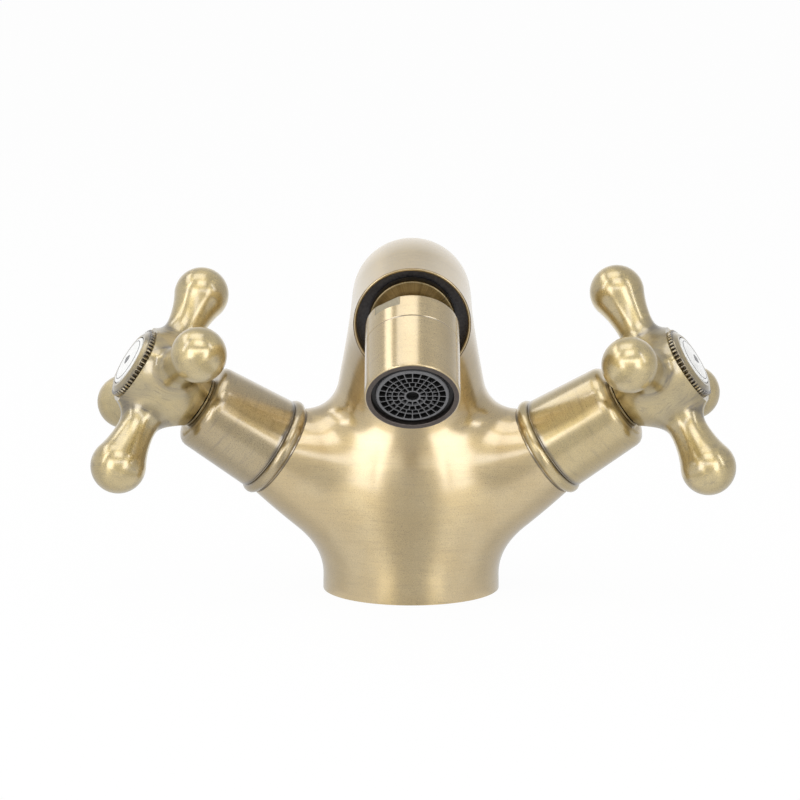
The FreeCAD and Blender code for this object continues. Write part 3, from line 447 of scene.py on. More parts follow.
class Finish(NodeTree):
    # a material round one shader
    def __init__(self, name, base, roughness, metallic=0.0):
        super().__init__(bpy.data.materials.new(name))
        self.shader = self.tree.nodes["Principled BSDF"]
        self.set("Base Color", base)
        self.set("Roughness", roughness)
        self.set("Metallic", metallic)

    def set(self, socket, value):
        self.feed(self.shader.inputs[socket], value)

    def place(self):
        # in millimetres of the whole tap
        place = self.add("TexCoord").outputs["Object"]
        return self.add("VectorMath", {0: place, "Scale": 1 / millimetre}, operation="SCALE").outputs[0]

    def attribute(self, name, output):
        return self.add("Attribute", attribute_name=name).outputs[output]

    def brushedRound(self, anisotropy):
        # highlights stretch along the direction that the brushing runs round
        axis = self.attribute("grainAxis", "Vector")
        turned = self.add("VectorTransform", {0: axis}, vector_type="VECTOR", convert_from="OBJECT",
                          convert_to="WORLD")
        self.set("Anisotropic", anisotropy)
        self.set("Tangent", turned.outputs[0])

    def noise(self, place, scale, detail=3, rough=0.5):
        mapped = self.add("Mapping", {"Scale": scale, "Vector": place}).outputs[0]
        inputs = {"Scale": 1, "Detail": detail, "Roughness": rough, "Vector": mapped}
        return self.add("TexNoise", inputs).outputs["Fac"]

    def blend(self, factor, first, second):
        inputs = {0: factor, 6: first, 7: second}
        return self.add("Mix", inputs, data_type="RGBA", clamp_factor=True).outputs[2]

    def bump(self, height):
        # the height is in millimetres
        inputs = {"Strength": 1, "Distance": millimetre, "Height": height}
        self.set("Normal", self.add("Bump", inputs).outputs[0])


# depths are in millimetres, and scales are per millimetre, the last number across the brushing
brass = Values(
    colour=(0.56, 0.41, 0.175),
    worn=(0.63, 0.49, 0.25),
    patinaColour=(0.095, 0.072, 0.045),
    tint=(1, 1, 1),
    lines=0.0024,                   # depth of the brushing
    grain=0.0050,                   # depth of the fine grain
    grainScale=(3.6, 3.6, 4.6),
    roughness=0.31,
    anisotropy=0.8,
    patina=(0.1, 0.45),             # patina and painted shade, from the hollowness where they begin to where they are full
    specks=0.4,
    coat=1.0,
    coatRoughness=0.18,
    coatIor=2.2,
    lineTone=0.16,
    lineScale=(0.035, 0.035, 4.6),
    smudges=0.12,
    smudgeScale=(0.11, 0.11, 0.75),
)


def brassFinish(name, **changes):
    look = Values(brass, **changes)
    colour = tuple(channel * share for channel, share in zip(look.colour, look.tint))
    polished = tuple(channel * share for channel, share in zip(look.worn, look.tint))
    dull = tuple(channel * 0.5 for channel in colour)
    finish = Finish(name, colour, look.roughness, 1.0)
    finish.set("Coat Weight", look.coat)
    finish.set("Coat Roughness", look.coatRoughness)
    finish.set("Coat IOR", look.coatIor)
    finish.brushedRound(look.anisotropy)
    place = finish.attribute("grainPlace", "Vector")
    brushing = finish.noise(place, look.lineScale, 3, 0.6)
    grain = finish.noise(place, look.grainScale, 3, 0.6)
    clouds = finish.noise(place, (0.10, 0.10, 0.10))
    stains = finish.noise(place, look.smudgeScale, 5, 0.6)
    tone = finish.blend(finish.spread(clouds, 0.38, 0.68, 0.0, 0.5, True), colour, polished)
    tone = finish.blend(finish.spread(grain, 0.34, 0.58, look.specks, 0.0, True), tone, dull)
    tone = finish.blend(finish.spread(brushing, 0.3, 0.62, look.lineTone, 0.0), tone, dull)
    # patina and painted shade: hollows darken towards the patina colour, part real patina and part painted
    # shade, with random stains added
    patinaShadeAndStains = finish.spread(finish.attribute("hollowness", "Fac"), *look.patina, 0.0, 0.88, True)
    patinaShadeAndStains = finish.calculate("MULTIPLY", patinaShadeAndStains, finish.spread(clouds, 0.36, 0.6, 0.45, 1.0))
    patinaShadeAndStains = finish.calculate("ADD", patinaShadeAndStains, finish.spread(stains, 0.50, 0.74, 0.0, look.smudges, True))
    finish.set("Base Color", finish.blend(patinaShadeAndStains, tone, look.patinaColour))
    rough = finish.spread(grain, 0.3, 0.7, look.roughness - 0.04, look.roughness + 0.06)
    rough = finish.calculate("ADD", rough, finish.spread(brushing, 0.3, 0.7, -0.03, 0.03))
    finish.set("Roughness", rough)
    scratches = finish.spread(brushing, 0, 1, 0, look.lines)
    finish.bump(finish.calculate("ADD", scratches, finish.spread(grain, 0, 1, 0, look.grain)))
    return finish.owner


def plainFinish(name, colour, roughness, metallic, speckle, bumpDepth):
    # hidden pieces and plastics, with a fine grain in the tap's own space
    finish = Finish(name, colour, roughness, metallic)
    grain = finish.noise(finish.place(), (1.6, 1.6, 1.6), 3, 0.55)
    dark = tuple(channel * (1 - speckle) for channel in colour)
    finish.set("Base Color", finish.blend(finish.spread(grain, 0.35, 0.65, 0, 1), dark, colour))
    finish.set("Roughness", finish.spread(grain, 0.3, 0.7, roughness - 0.06, roughness + 0.06))
    finish.bump(finish.spread(grain, 0, 1, 0, bumpDepth))
    return finish.owner


castingBrass = brassFinish("casting_brass", lines=0.0045, grain=0.0036, anisotropy=0.75)
# lit and shaded copies of one brass: the hot bonnet's is tinted darker as painted shade, the cold bonnet's
# stays light
litAndShadedBonnetBrass = {
    "hot": brassFinish("hot_bonnet_brass", grain=0.0055, tint=(0.77, 0.77, 0.74), specks=0.65,
                       smudges=0.35),
    "cold": brassFinish("cold_bonnet_brass", tint=(1.0, 1.02, 0.92), specks=0.5, smudges=0.25),
}
handleBrass = brassFinish("handle_brass", lines=0.0030, grain=0.0045, roughness=0.34, anisotropy=0.78,
                          patina=(-0.10, 0.08), tint=(1.04, 1.08, 0.98), specks=0.55,
                          coatRoughness=0.20, lineTone=0.18, lineScale=(0.22, 0.22, 3.6),
                          smudges=0.34, smudgeScale=(0.34, 0.34, 0.55))
aeratorBrass = brassFinish("aerator_brass", lines=0.0028, grain=0.0030, roughness=0.30,
                           anisotropy=0.75, specks=0.45)
glandBrass = brassFinish("gland_brass", lines=0.0020, grain=0.0020, roughness=0.28, anisotropy=0.4,
                         tint=(0.40, 0.40, 0.38), coat=0.3)
mouthBrass = brassFinish("mouth_brass", lines=0.0060, grain=0.0020, roughness=0.34, anisotropy=0.4,
                         tint=(0.46, 0.46, 0.46), coat=0.2, lineTone=0.8)
# colour, roughness, metallic, how much darker the specks are, and depth of the grain
plainBrass = plainFinish("plain_brass", (0.66, 0.52, 0.27), 0.34, 1.0, 0.15, 0.004)
# dark metal, which also serves as painted shade in the mouth, the knurl's grooves and the pocket round the
# disc
shadeDarkMetal = plainFinish("bare_dark_metal", (0.115, 0.112, 0.118), 0.42, 1.0, 0.35, 0.004)
rimMetal = plainFinish("bare_rim_metal", (0.17, 0.145, 0.13), 0.40, 1.0, 0.2, 0.003)
flatMetal = plainFinish("spanner_flat_metal", (0.30, 0.265, 0.19), 0.36, 1.0, 0.2, 0.003)
rubber = plainFinish("rubber", (0.022, 0.022, 0.023), 0.62, 0.0, 0.3, 0.012)
ceramic = plainFinish("ceramic", (0.78, 0.77, 0.74), 0.22, 0.0, 0.05, 0.002)
whitePlastic = plainFinish("white_plastic", (0.74, 0.74, 0.72), 0.42, 0.0, 0.05, 0.004)
greyPlastic = plainFinish("grey_plastic", (0.13, 0.13, 0.135), 0.42, 0.0, 0.18, 0.004)
blackPlastic = plainFinish("black_plastic", (0.008, 0.008, 0.008), 0.45, 0.0, 0.3, 0.006)
stainless = plainFinish("stainless_steel", (0.56, 0.55, 0.53), 0.30, 1.0, 0.1, 0.003)


def porcelainFinish():
    finish = Finish("porcelain", (0.78, 0.78, 0.76), 0.12)
    finish.set("Coat Weight", 0.6)
    finish.set("Coat Roughness", 0.04)
    clouds = finish.noise(finish.place(), (0.5, 0.5, 0.5))
    shade = finish.spread(clouds, 0.3, 0.7, 0, 1)
    finish.set("Base Color", finish.blend(shade, (0.74, 0.74, 0.715), (0.81, 0.81, 0.795)))
    finish.set("Roughness", finish.spread(clouds, 0.3, 0.7, 0.09, 0.16))
    finish.bump(finish.spread(clouds, 0, 1, 0, 0.01))
    return finish.owner


porcelain = porcelainFinish()
enamel = plainFinish("index_enamel", (0.03, 0.03, 0.035), 0.2, 0.0, 0.2, 0.001)
print("materials made")


# foot, trunk, two valve arms and spout in one
casting = Values(
    columnStations=[(-4, 24.9), (0, 24.9), (14, 24.55), (27, 24.4), (37.9, 23.8)],
    turnStations=[(14, 22.0), (25, 20.3), (36, 18.7), (52, 17.0), (72, 16.0), (90, 15.5)],
    mouthRadius=15.15,
    mouthWall=0.8,
    mouthDepth=6.0,
    mouthBore=(7.5, 14.0),
    shoulder=(10.7, -1.0, 28.7),    # middle of each shoulder, inside the trunk
    shoulderLean=6.3,
    shoulderHalfHeight=24.6,
    shoulderHalfDepth=21.3,
    armEnd=44.5,
    armRadius=13.4,
    armStretch=1.12,                # the arm's cone runs on past its end by this share
    blend=8.5,
    footGroove=(23.4, 20.4, 1.6),
    footHollow=(18.5, 10.0),
    valveBore=[(10.4, 0), (10.4, -9.0), (9.5, -9.0), (9.5, -22.0), (4.0, -22.0), (4.0, -24.0)],
    # the inlets and the studs: across, along, radius, depth
    footHoles=[(-9.5, -2.0, 4.5, 12.0), (9.5, -2.0, 4.5, 12.0), (0, -11.0, 2.5, 14.0), (0, 11.0, 2.5, 14.0)],
    low=(-48.4, -79.2, -2.4),
    high=(48.4, 27.2, 107.2),
    cell=0.8,
)


def smoothCurve(stations):
    # a smooth curve through the stations: cubic pieces with mean slopes
    places, heights = np.array(stations, dtype=float).T
    slopes = np.gradient(heights, places)

    def curve(at):
        at = np.clip(at, places[0], places[-1])
        index = np.clip(np.searchsorted(places, at) - 1, 0, len(places) - 2)
        width = places[index + 1] - places[index]
        share = (at - places[index]) / width
        rise = (1 + 2 * share) * (1 - share) ** 2 * heights[index]
        rise += share ** 2 * (3 - 2 * share) * heights[index + 1]
        return rise + width * share * (1 - share) * ((1 - share) * slopes[index] - share * slopes[index + 1])

    return curve


def bendLength(turn):
    return layout.bendHeight + layout.bendRadius * math.radians(turn)


mouthLength = bendLength(90 + layout.mouthTilt) + layout.spoutRun
trunkRadius = smoothCurve([
    *casting.columnStations,
    *((bendLength(turn), radius) for turn, radius in casting.turnStations),
    (mouthLength, casting.mouthRadius),
    (mouthLength + 4, casting.mouthRadius),
])


def trunkCoordinates(points):
    # length along the bent middle line, and distance from it
    bend = layout.bendRadius
    height = points[:, 2] - layout.bendHeight
    forward = points[:, 1] + bend
    turn = np.arctan2(height, forward)
    end = math.radians(90 + layout.mouthTilt)
    run = -forward * math.sin(end) + height * math.cos(end)
    across = forward * math.cos(end) + height * math.sin(end) - bend
    length = np.where(turn < 0, points[:, 2], layout.bendHeight + bend * np.clip(turn, 0, end))
    length = np.where(turn > end, length + run, length)
    offset = np.where(turn < 0, points[:, 1], np.hypot(height, forward) - bend)
    offset = np.where(turn > end, across, offset)
    return length, offset


def trunkField(points):
    length, offset = trunkCoordinates(points)
    return np.hypot(points[:, 0], offset) - trunkRadius(length)


def armField(points):
    # cone from an upright oval inside the trunk to the round end of the arm
    points = points.copy()
    points[:, 0] = np.abs(points[:, 0])
    place = valvePlace("cold")
    outward = np.array(place.to_3x3().col[2])
    end = np.array(place @ Vector((0, 0, casting.armEnd)))
    start = np.array(casting.shoulder)
    lean = math.radians(casting.shoulderLean)
    startNormal = np.array([math.cos(lean), 0, math.sin(lean)])
    middle = end - start
    limit = casting.armStretch
    share = np.clip((points - start) @ middle / (middle @ middle), 0, limit)
    for _ in range(3):
        normal = startNormal * (1 - share[:, None]) + outward * share[:, None]
        normal /= np.linalg.norm(normal, axis=1, keepdims=True)
        away = points - start - share[:, None] * middle
        share = np.clip(share + (away * normal).sum(1) / (normal @ middle), 0, limit)
    away = points - start - share[:, None] * middle
    past = (away * normal).sum(1)
    level = np.stack([-normal[:, 1], normal[:, 0], np.zeros(len(normal))], axis=1)
    level /= np.linalg.norm(level, axis=1, keepdims=True)
    upward = np.cross(normal, level)
    halfHeight = casting.shoulderHalfHeight + share * (casting.armRadius - casting.shoulderHalfHeight)
    halfDepth = casting.shoulderHalfDepth + share * (casting.armRadius - casting.shoulderHalfDepth)
    u = (away * level).sum(1)
    v = (away * upward).sum(1)
    ratio = np.sqrt((u / halfDepth) ** 2 + (v / halfHeight) ** 2) + 1e-6
    steepness = np.sqrt((u / halfDepth ** 2) ** 2 + (v / halfHeight ** 2) ** 2) / ratio + 1e-6
    wall = (ratio - 1) / steepness
    return np.where(share >= limit, np.maximum(wall, past), wall)


def castingField(points):
    return smoothUnion(trunkField(points), armField(points), casting.blend)


def drillHole(piece, x, y, start, radius, depth):
    corners = [(0, start - 0.5), (radius, start - 0.5), (radius, start + depth), (0, start + depth)]
    points, faces = spun(corners, 48)
    cutter = pieceFromBmesh(meshFrom(points + [x, y, 0], faces), "hole")
    modifier = piece.modifiers.new("hole", "BOOLEAN")
    modifier.operation = "DIFFERENCE"
    modifier.solver = "EXACT"
    modifier.object = cutter
    bpy.context.view_layer.objects.active = piece
    bpy.ops.object.modifier_apply(modifier=modifier.name)
    bpy.data.objects.remove(cutter)


def makeCasting():
    cell = casting.cell
    mesh = meshFrom(*skinOf(castingField, casting.low, casting.high, cell))
    grooveOuter, grooveInner, grooveDepth = casting.footGroove
    hollowRadius, hollowDepth = casting.footHollow
    foot = placeFrom((0, 0, 0), (1, 0, 0), (0, 0, -1))
    openEnd(mesh, foot, [
        (grooveOuter, 0), (grooveOuter, -grooveDepth), (grooveInner, -grooveDepth), (grooveInner, 0),
        (hollowRadius, 0), (hollowRadius, -hollowDepth),
    ], reach=30, cell=cell)
    for side in sides:
        end = valvePlace(side) @ Matrix.Translation((0, 0, casting.armEnd))
        openEnd(mesh, end, casting.valveBore, reach=19, cell=cell)
    # the mouth's rim is rounded over its whole wall
    rim = casting.mouthWall / 2
    lip = []
    for step in range(1, 9):
        angle = math.pi * step / 8
        lip.append((casting.mouthRadius - rim + rim * math.cos(angle), -rim + rim * math.sin(angle)))
    inner = casting.mouthRadius - casting.mouthWall
    bore, boreEnd = casting.mouthBore
    lip += [(inner, -casting.mouthDepth), (bore, -casting.mouthDepth), (bore, -boreEnd)]
    mouth = mouthPlace()
    openEnd(mesh, mouth, lip, reach=22, cell=cell)
    piece = pieceFromBmesh(mesh, "casting_skin")
    for x, y, radius, depth in casting.footHoles:
        drillHole(piece, x, y, hollowDepth, radius, depth)
    finishPiece(piece, "tap", castingBrass, ["body_casting"], 40)
    points = pointsOf(piece.data)
    length, offset = trunkCoordinates(points)
    grain = np.stack([points[:, 0], offset, length], axis=1)
    # the brushing runs round the middle line, wherever that points
    axis = slopeOf(lambda near: trunkCoordinates(near)[0], points, 0.05)
    # the hollowness sets the patina and painted shade in the casting's hollows
    storeGrain(piece, grain, hollownessOf(castingField, points, 1.0), axis)
    # dark metal inside the mouth, partly its bare metal and partly painted shade of the recess
    paintFaces(piece, shadeDarkMetal, mouth,
               lambda radius, level, angle: radius < inner - 0.05 and -20 < level < -0.7)
    print("casting:", len(piece.data.polygons), "faces")


makeCasting()


bonnet = Values(
    foot=44.5,
    beadGap=0.5,
    beadWidth=3.4,
    beadRadius=14.45,
    grooveRadius=12.9,
    footRadius=13.45,
    topRadius=12.0,
    length=26.6,
    shoulder=2.6,
    wallGap=0.35,
    wall=1.0,
    lid=1.6,
    hole=6.7,
)


def makeBonnet(side):
    foot = bonnet.foot
    beadStart = foot + bonnet.beadGap
    beadEnd = beadStart + bonnet.beadWidth
    wallStart = beadEnd + bonnet.wallGap
    top = foot + bonnet.length
    bead = bonnet.beadWidth / 2 - 0.06      # the bead's rounding, a little under a half circle
    inner = bonnet.grooveRadius - bonnet.wall / 2
    innerTop = bonnet.topRadius - bonnet.wall

    def grooveShade(points):
        # painted shade, darkest in the two grooves beside the bead, fading up the wall
        grooves = band(points, foot, 0.45) + band(points, wallStart, 0.4)
        return 0.6 * grooves + 0.16 * band(points, wallStart, 1.6)

    turnedPiece(f"{side}_bonnet_shell", [
        (inner, foot),
        (bonnet.grooveRadius, foot),
        (bonnet.grooveRadius, beadStart),
        (bonnet.beadRadius, beadStart, bead),
        (bonnet.beadRadius, beadEnd, bead),
        (bonnet.grooveRadius + 0.1, beadEnd, 0.12),
        (bonnet.grooveRadius + 0.1, wallStart, 0.12),
        (bonnet.footRadius, wallStart + 0.25, 0.2),
        (bonnet.topRadius, top, bonnet.shoulder),
        (bonnet.hole, top, 0.25),
        (bonnet.hole, top - bonnet.lid),
        (innerTop, top - bonnet.lid, 1.2),
        (inner, wallStart),
    ], valvePlace(side), "tap", litAndShadedBonnetBrass[side], [f"{side}_bonnet"], 160, hollow=grooveShade)


gland = Values(
    shankRadius=6.6,
    flangeRadius=7.3,
    bottom=65.1,
    seat=71.1,
    flangeTop=71.9,
    lip=5.45,
    lipLevel=70.5,
    bore=5.95,
)


def makeGland(side):
    turnedPiece(f"{side}_gland_ring", [
        (gland.bore, gland.bottom),
        (gland.shankRadius, gland.bottom, 0.15),
        (gland.shankRadius, gland.seat),
        (gland.flangeRadius, gland.seat, 0.2),
        (gland.flangeRadius, gland.flangeTop, 0.25),
        (gland.lip, gland.flangeTop),
        (gland.lip, gland.lipLevel),
        (gland.bore, gland.lipLevel),
    ], valvePlace(side), "tap", glandBrass, [f"{side}_gland_nut"], 96)


for side in sides:
    makeBonnet(side)
    makeGland(side)
print("bonnets and gland nuts made")


handle = Values(
    foot=72.3,
    top=92.4,
    centre=84.3,
    # hub radius by level
    hub=[(68, 6.2), (72.3, 7.35), (75.5, 8.6), (79.5, 9.7), (84.3, 10.3), (89.0, 10.2), (92.4, 10.2),
         (96, 10.2)],
    ballReach=28.3,
    ballRadius=7.59,
    waistRadius=5.15,
    waistReach=15.5,
    armBlend=5.0,                   # between neighbouring arms
    hubBlend=7.0,
    cavity=[(7.9, 0), (7.9, -4.2)],
    bushBore=[(5.65, 0), (5.65, -10.6)],
    brushTurns=(8.0, 13.0),         # where the brushing changes from round the hub to round the arms
    low=(-36.5, -36.5, 69.4),
    high=(36.5, 36.5, 94.4),
    cell=0.5,
)
hubRadius = smoothCurve(handle.hub)


def handleField(points):
    # local Z runs up through the hub, and the arms lie along X and Y
    height = points[:, 2] - handle.centre
    run = handle.ballReach - handle.waistReach
    curve = run ** 2 + handle.waistRadius ** 2 - handle.ballRadius ** 2
    curve /= 2 * (handle.ballRadius - handle.waistRadius)
    centre = curve + handle.waistRadius
    meet = handle.ballReach - handle.ballRadius * run / (curve + handle.ballRadius)

    def armPair(along, side):
        # the neck swells from the waist towards the ball and towards the hub
        reach = np.abs(along)
        across = np.hypot(side, height)
        ball = np.hypot(across, reach - handle.ballReach) - handle.ballRadius
        hollowTube = curve - np.hypot(across - centre, reach - handle.waistReach)
        neck = np.maximum(hollowTube, reach - meet)
        neck = np.where(across > centre, 5.0, neck)
        return np.minimum(neck, ball)

    arms = smoothUnion(armPair(points[:, 0], points[:, 1]), armPair(points[:, 1], points[:, 0]),
                       handle.armBlend)
    hub = (radiusOf(points) - hubRadius(points[:, 2])) * 0.97
    return smoothUnion(hub, arms, handle.hubBlend)


def handleBrushing(points):
    # the brushing runs round the hub, and out from it round each arm
    start, end = handle.brushTurns
    x, y = points[:, 0], points[:, 1]
    level = points[:, 2] - handle.centre
    alongX = np.abs(x) > np.abs(y)
    share = smoothStep(start, end, np.maximum(np.abs(x), np.abs(y)))
    first = x + share * (np.where(alongX, y, level) - x)
    second = y + share * (np.where(alongX, level, x) - y)
    third = level + share * (np.where(alongX, x, y) - level)
    axis = np.stack([share * alongX, share * ~alongX, 1 - share], axis=1)
    return np.stack([first, second, third], axis=1), axis


def makeHandle(side):
    cell = handle.cell
    mesh = meshFrom(*skinOf(handleField, handle.low, handle.high, cell))
    top = Matrix.Translation((0, 0, handle.top))
    openEnd(mesh, top, handle.cavity, reach=14, cell=cell)
    foot = placeFrom((0, 0, handle.foot), (1, 0, 0), (0, 0, -1))
    openEnd(mesh, foot, handle.bushBore, reach=11, cell=cell)
    piece = pieceFromBmesh(mesh, f"{side}_handle_skin")
    local = pointsOf(piece.data)
    grain, axis = handleBrushing(local)
    place = valvePlace(side, layout.clocking[side])
    piece.data.transform(placeInMetres(place))
    finishPiece(piece, f"{side}_handle", handleBrass, [f"{side}_cross_handle"], 40)
    turn = np.array(place.to_3x3())
    # the hollowness sets the patina and painted shade in the handle's hollows
    storeGrain(piece, grain, hollownessOf(handleField, local, 0.8), axis @ turn.T)
    print(side, "handle:", len(piece.data.polygons), "faces")


for side in sides:
    makeHandle(side)


cap = Values(
    seat=92.4,
    teeth=52,
    knurlRadius=10.35,
    knurlDepth=0.75,
    knurlHeight=1.25,
    rimWidth=0.75,
    bezelHeight=0.95,
    bezelRadius=8.15,
    pocketRadius=7.35,
    pocketDepth=1.3,
    skirtRadius=7.85,
    skirtInner=6.6,
    skirtLength=3.8,
)


def makeCap(side):
    seat = cap.seat
    knurlTop = seat + cap.knurlHeight
    bezelTop = knurlTop + cap.bezelHeight
    cone = cap.knurlRadius - cap.rimWidth

    def wave(degrees):
        # from 0 on a tooth to 1 in the groove beside it
        return abs(((degrees * cap.teeth / 360) % 1) * 2 - 1)

    def grooveDepth(points):
        return np.clip(2.0 * wave(np.degrees(angleOf(points))) - 0.7, 0, 1)

    def teeth(points):
        # pointed grooves cut into the rim
        radius = radiusOf(points)
        rim = radius > cap.knurlRadius - 0.3
        moved = np.where(rim, radius - cap.knurlDepth * grooveDepth(points), radius)
        return points * np.stack([moved / radius, moved / radius, np.ones(len(points))], axis=1)

    def grooveShade(points):
        # painted shade in the grooves, along the hub and at the foot of the bezel
        rim = (radiusOf(points) > cone) & (points[:, 2] < knurlTop + 0.01)
        edge = band(points, seat, 0.25) + band(points, knurlTop, 0.2)
        return np.where(rim, 0.5 * grooveDepth(points) + 0.3 * edge, 0.15 * edge)

    piece = turnedPiece(f"{side}_knurled_cap", [
        (cap.skirtInner, seat - cap.skirtLength),
        (cap.skirtRadius, seat - cap.skirtLength),
        (cap.skirtRadius, seat),
        (cap.knurlRadius - 0.1, seat),
        (cap.knurlRadius, seat + 0.12),
        (cap.knurlRadius, seat + cap.knurlHeight / 2),
        (cap.knurlRadius, knurlTop - 0.12),
        (cap.knurlRadius - 0.1, knurlTop),
        (cone, knurlTop),
        (cone - 0.05, knurlTop + 0.2),
        (cap.bezelRadius, bezelTop, 0.15),
        (cap.pocketRadius, bezelTop, 0.1),
        (cap.pocketRadius, bezelTop - cap.pocketDepth),
        (cap.skirtInner, bezelTop - cap.pocketDepth),
    ], valvePlace(side), f"{side}_handle", handleBrass, [f"{side}_index_cap"],
        cap.teeth * 8, teeth, grooveShade)

    # painted shade: the knurl's grooves and the pocket round the disc get the dark metal
    def shadedGroove(radius, level, angle):
        return wave(angle) > 0.6 and radius > cone + 0.1 and seat < level < knurlTop

    def shadedPocket(radius, level, angle):
        return radius < cap.pocketRadius + 0.04 and seat < level < bezelTop - 0.12

    for chosen in (shadedGroove, shadedPocket):
        paintFaces(piece, shadeDarkMetal, valvePlace(side), chosen)


disc = Values(
    radius=7.14,
    start=93.3,
    top=95.3,
    domeRadius=46.0,
    edgeRound=0.35,
    markProud=0.03,
    markSink=0.15,
    ringRadius=6.0,
    ringWidth=0.22,
    dropRadius=1.35,
    dropLength=3.6,
    dropShift=0.5,
)


def domeLevel(radius):
    return disc.top - disc.domeRadius + math.sqrt(disc.domeRadius ** 2 - radius ** 2)


def makeDisc(side):
    edge = disc.radius
    dome = [(edge * step / 12, domeLevel(edge * step / 12)) for step in range(11, 0, -1)]
    turnedPiece(f"{side}_porcelain_disc", [
        (0, disc.start),
        (edge, disc.start, 0.1),
        (edge, domeLevel(edge), disc.edgeRound),
        *dome,
        (0, disc.top),
    ], valvePlace(side), f"{side}_handle", porcelain, [f"{side}_index_disc"], 96)


def makeMark(side):
    # a thin ring and a water drop in dark enamel
    heights = (-disc.markSink, disc.markProud)
    inner = disc.ringRadius - disc.ringWidth / 2
    outer = disc.ringRadius + disc.ringWidth / 2
    corners = [(inner, heights[0]), (outer, heights[0]), (outer, heights[1]), (inner, heights[1])]
    points, faces = spun([(radius, domeLevel(radius) + height) for radius, height in corners], 96)
    outline = []
    drop = disc.dropRadius
    tip = disc.dropLength - drop
    lean = math.asin(drop / tip)
    for step in range(33):
        angle = math.pi - lean + (math.pi + 2 * lean) * step / 32
        outline.append((drop * math.cos(angle), drop * math.sin(angle)))
    outline.append((0, tip))
    # upright as seen from the front
    turn = math.radians(90 if side == "hot" else -90)
    loops = []
    for height in heights:
        for x, y in outline:
            y -= disc.dropShift
            u = x * math.cos(turn) - y * math.sin(turn)
            v = x * math.sin(turn) + y * math.cos(turn)
            loops.append((u, v, domeLevel(math.hypot(u, v)) + height))
    count = len(outline)
    base = len(points)
    points = np.concatenate([points, np.array(loops)])
    faces.append(list(range(base, base + count))[::-1])
    faces.append(list(range(base + count, base + 2 * count)))
    for index in range(count):
        after = (index + 1) % count
        faces.append([base + index, base + after, base + count + after, base + count + index])
    newPiece(f"{side}_index_mark", placed(points, valvePlace(side)), faces, f"{side}_handle",
             enamel)


for side in sides:
    makeCap(side)
    makeDisc(side)
    makeMark(side)
print("index caps, discs and marks made")


nipple = Values(
    ballRadius=8.5,
    neckRadius=5.0,
    boreRadius=3.2,
    noseCut=1.3,
    stemRadius=7.4,
    stemStart=-15.0,
    root=-2.0,
)


def makeNipple():
    ahead = layout.ballAhead
    ball = nipple.ballRadius
    first = math.acos(-math.sqrt(ball ** 2 - nipple.neckRadius ** 2) / ball)
    nose = ball - nipple.noseCut
    last = math.acos(nose / ball)
    arc = []
    for step in range(25):
        angle = first + (last - first) * step / 24
        arc.append((ball * math.sin(angle), ahead + ball * math.cos(angle)))
    turnedPiece("swivel_ball", [
        (nipple.boreRadius, nipple.stemStart),
        (nipple.stemRadius, nipple.stemStart, 0.3),
        (nipple.stemRadius, nipple.root, 0.3),
        (nipple.neckRadius, nipple.root),
        *arc,
        (nipple.boreRadius, ahead + nose, 0.3),
    ], mouthPlace(), "tap", aeratorBrass, ["ball_nipple"], 96)


flange = Values(inner=7.45, outer=11.2, back=-5.0, front=-1.4)


def makeFlange():
    def radialLines(points):
        # fine lines across the ring's face, counted by the angle from its lowest point
        angle = np.arctan2(points[:, 0], points[:, 1])
        return np.stack([radiusOf(points), points[:, 2], angle * flange.outer * 0.6], axis=1)

    turnedPiece("mouth_ring", [
        (flange.inner, flange.back),
        (flange.outer, flange.back, 0.3),
        (flange.outer, flange.front, 0.5),
        (flange.inner, flange.front, 0.3),
    ], mouthPlace(), "tap", mouthBrass, ["mouth_flange"], 384, grain=radialLines)


makeNipple()
makeFlange()


housing = Values(
    radius=12.0,
    rear=-2.5,
    seam=4.5,
    seamChamfer=0.2,
    front=21.65,
    rimRound=0.5,
    bore=10.4,
    skirtRadius=10.85,
    skirtInner=9.6,
    skirtEnd=9.0,
    skirtBore=10.9,                 # of the sleeve, round the nut's skirt
    socket=8.6,
    socketEnd=7.6,
    flatAcross=22.8,
    flatHeight=2.9,
    flatTurn=124.0,                 # of the flat's middle, from local X
    webStart=9.2,
    webEnd=11.2,
    port=4.0,
    cup=9.55,
    cupStart=3.5,
)


def socketArc(start, end, steps=8):
    radius = housing.socket
    arc = []
    for step in range(steps + 1):
        level = start + (end - start) * step / steps
        arc.append((math.sqrt(radius ** 2 - level ** 2), level))
    return arc


# painted shade along the groove where the nut meets the sleeve
def seamShade(points):
    return 0.7 * band(points, housing.seam, 0.1)


def makeRingNut():
    flatEnd = housing.rear + housing.flatHeight

    def flats(points):
        # two flats for a spanner, cut from the rear edge
        turn = math.radians(housing.flatTurn)
        along = np.array([math.cos(turn), math.sin(turn), 0])
        reach = points @ along
        half = housing.flatAcross / 2
        excess = reach - np.clip(reach, -half, half)
        excess = np.where(points[:, 2] < flatEnd - 0.001, excess, 0)
        return points - excess[:, None] * along

    chamfer = housing.seamChamfer
    piece = turnedPiece("aerator_ring_nut", [
        *socketArc(0, housing.rear),
        (housing.radius, housing.rear, 0.25),
        (housing.radius, flatEnd - 0.01),
        (housing.radius, flatEnd),
        (housing.radius, housing.seam - chamfer),
        (housing.radius - chamfer, housing.seam),
        (housing.skirtRadius, housing.seam),
        (housing.skirtRadius, housing.skirtEnd),
        (housing.skirtInner, housing.skirtEnd),
        (housing.skirtInner, 0),
    ], housingPlace(), "aerator_housing", aeratorBrass, ["ring_nut"], 256, flats,
        seamShade)
    half = housing.flatAcross / 2

    def onFlat(radius, level, angle):
        reach = radius * abs(math.cos(math.radians(angle - housing.flatTurn)))
        return level < flatEnd and abs(reach - half) < 0.03

    paintFaces(piece, flatMetal, housingPlace(), onFlat)


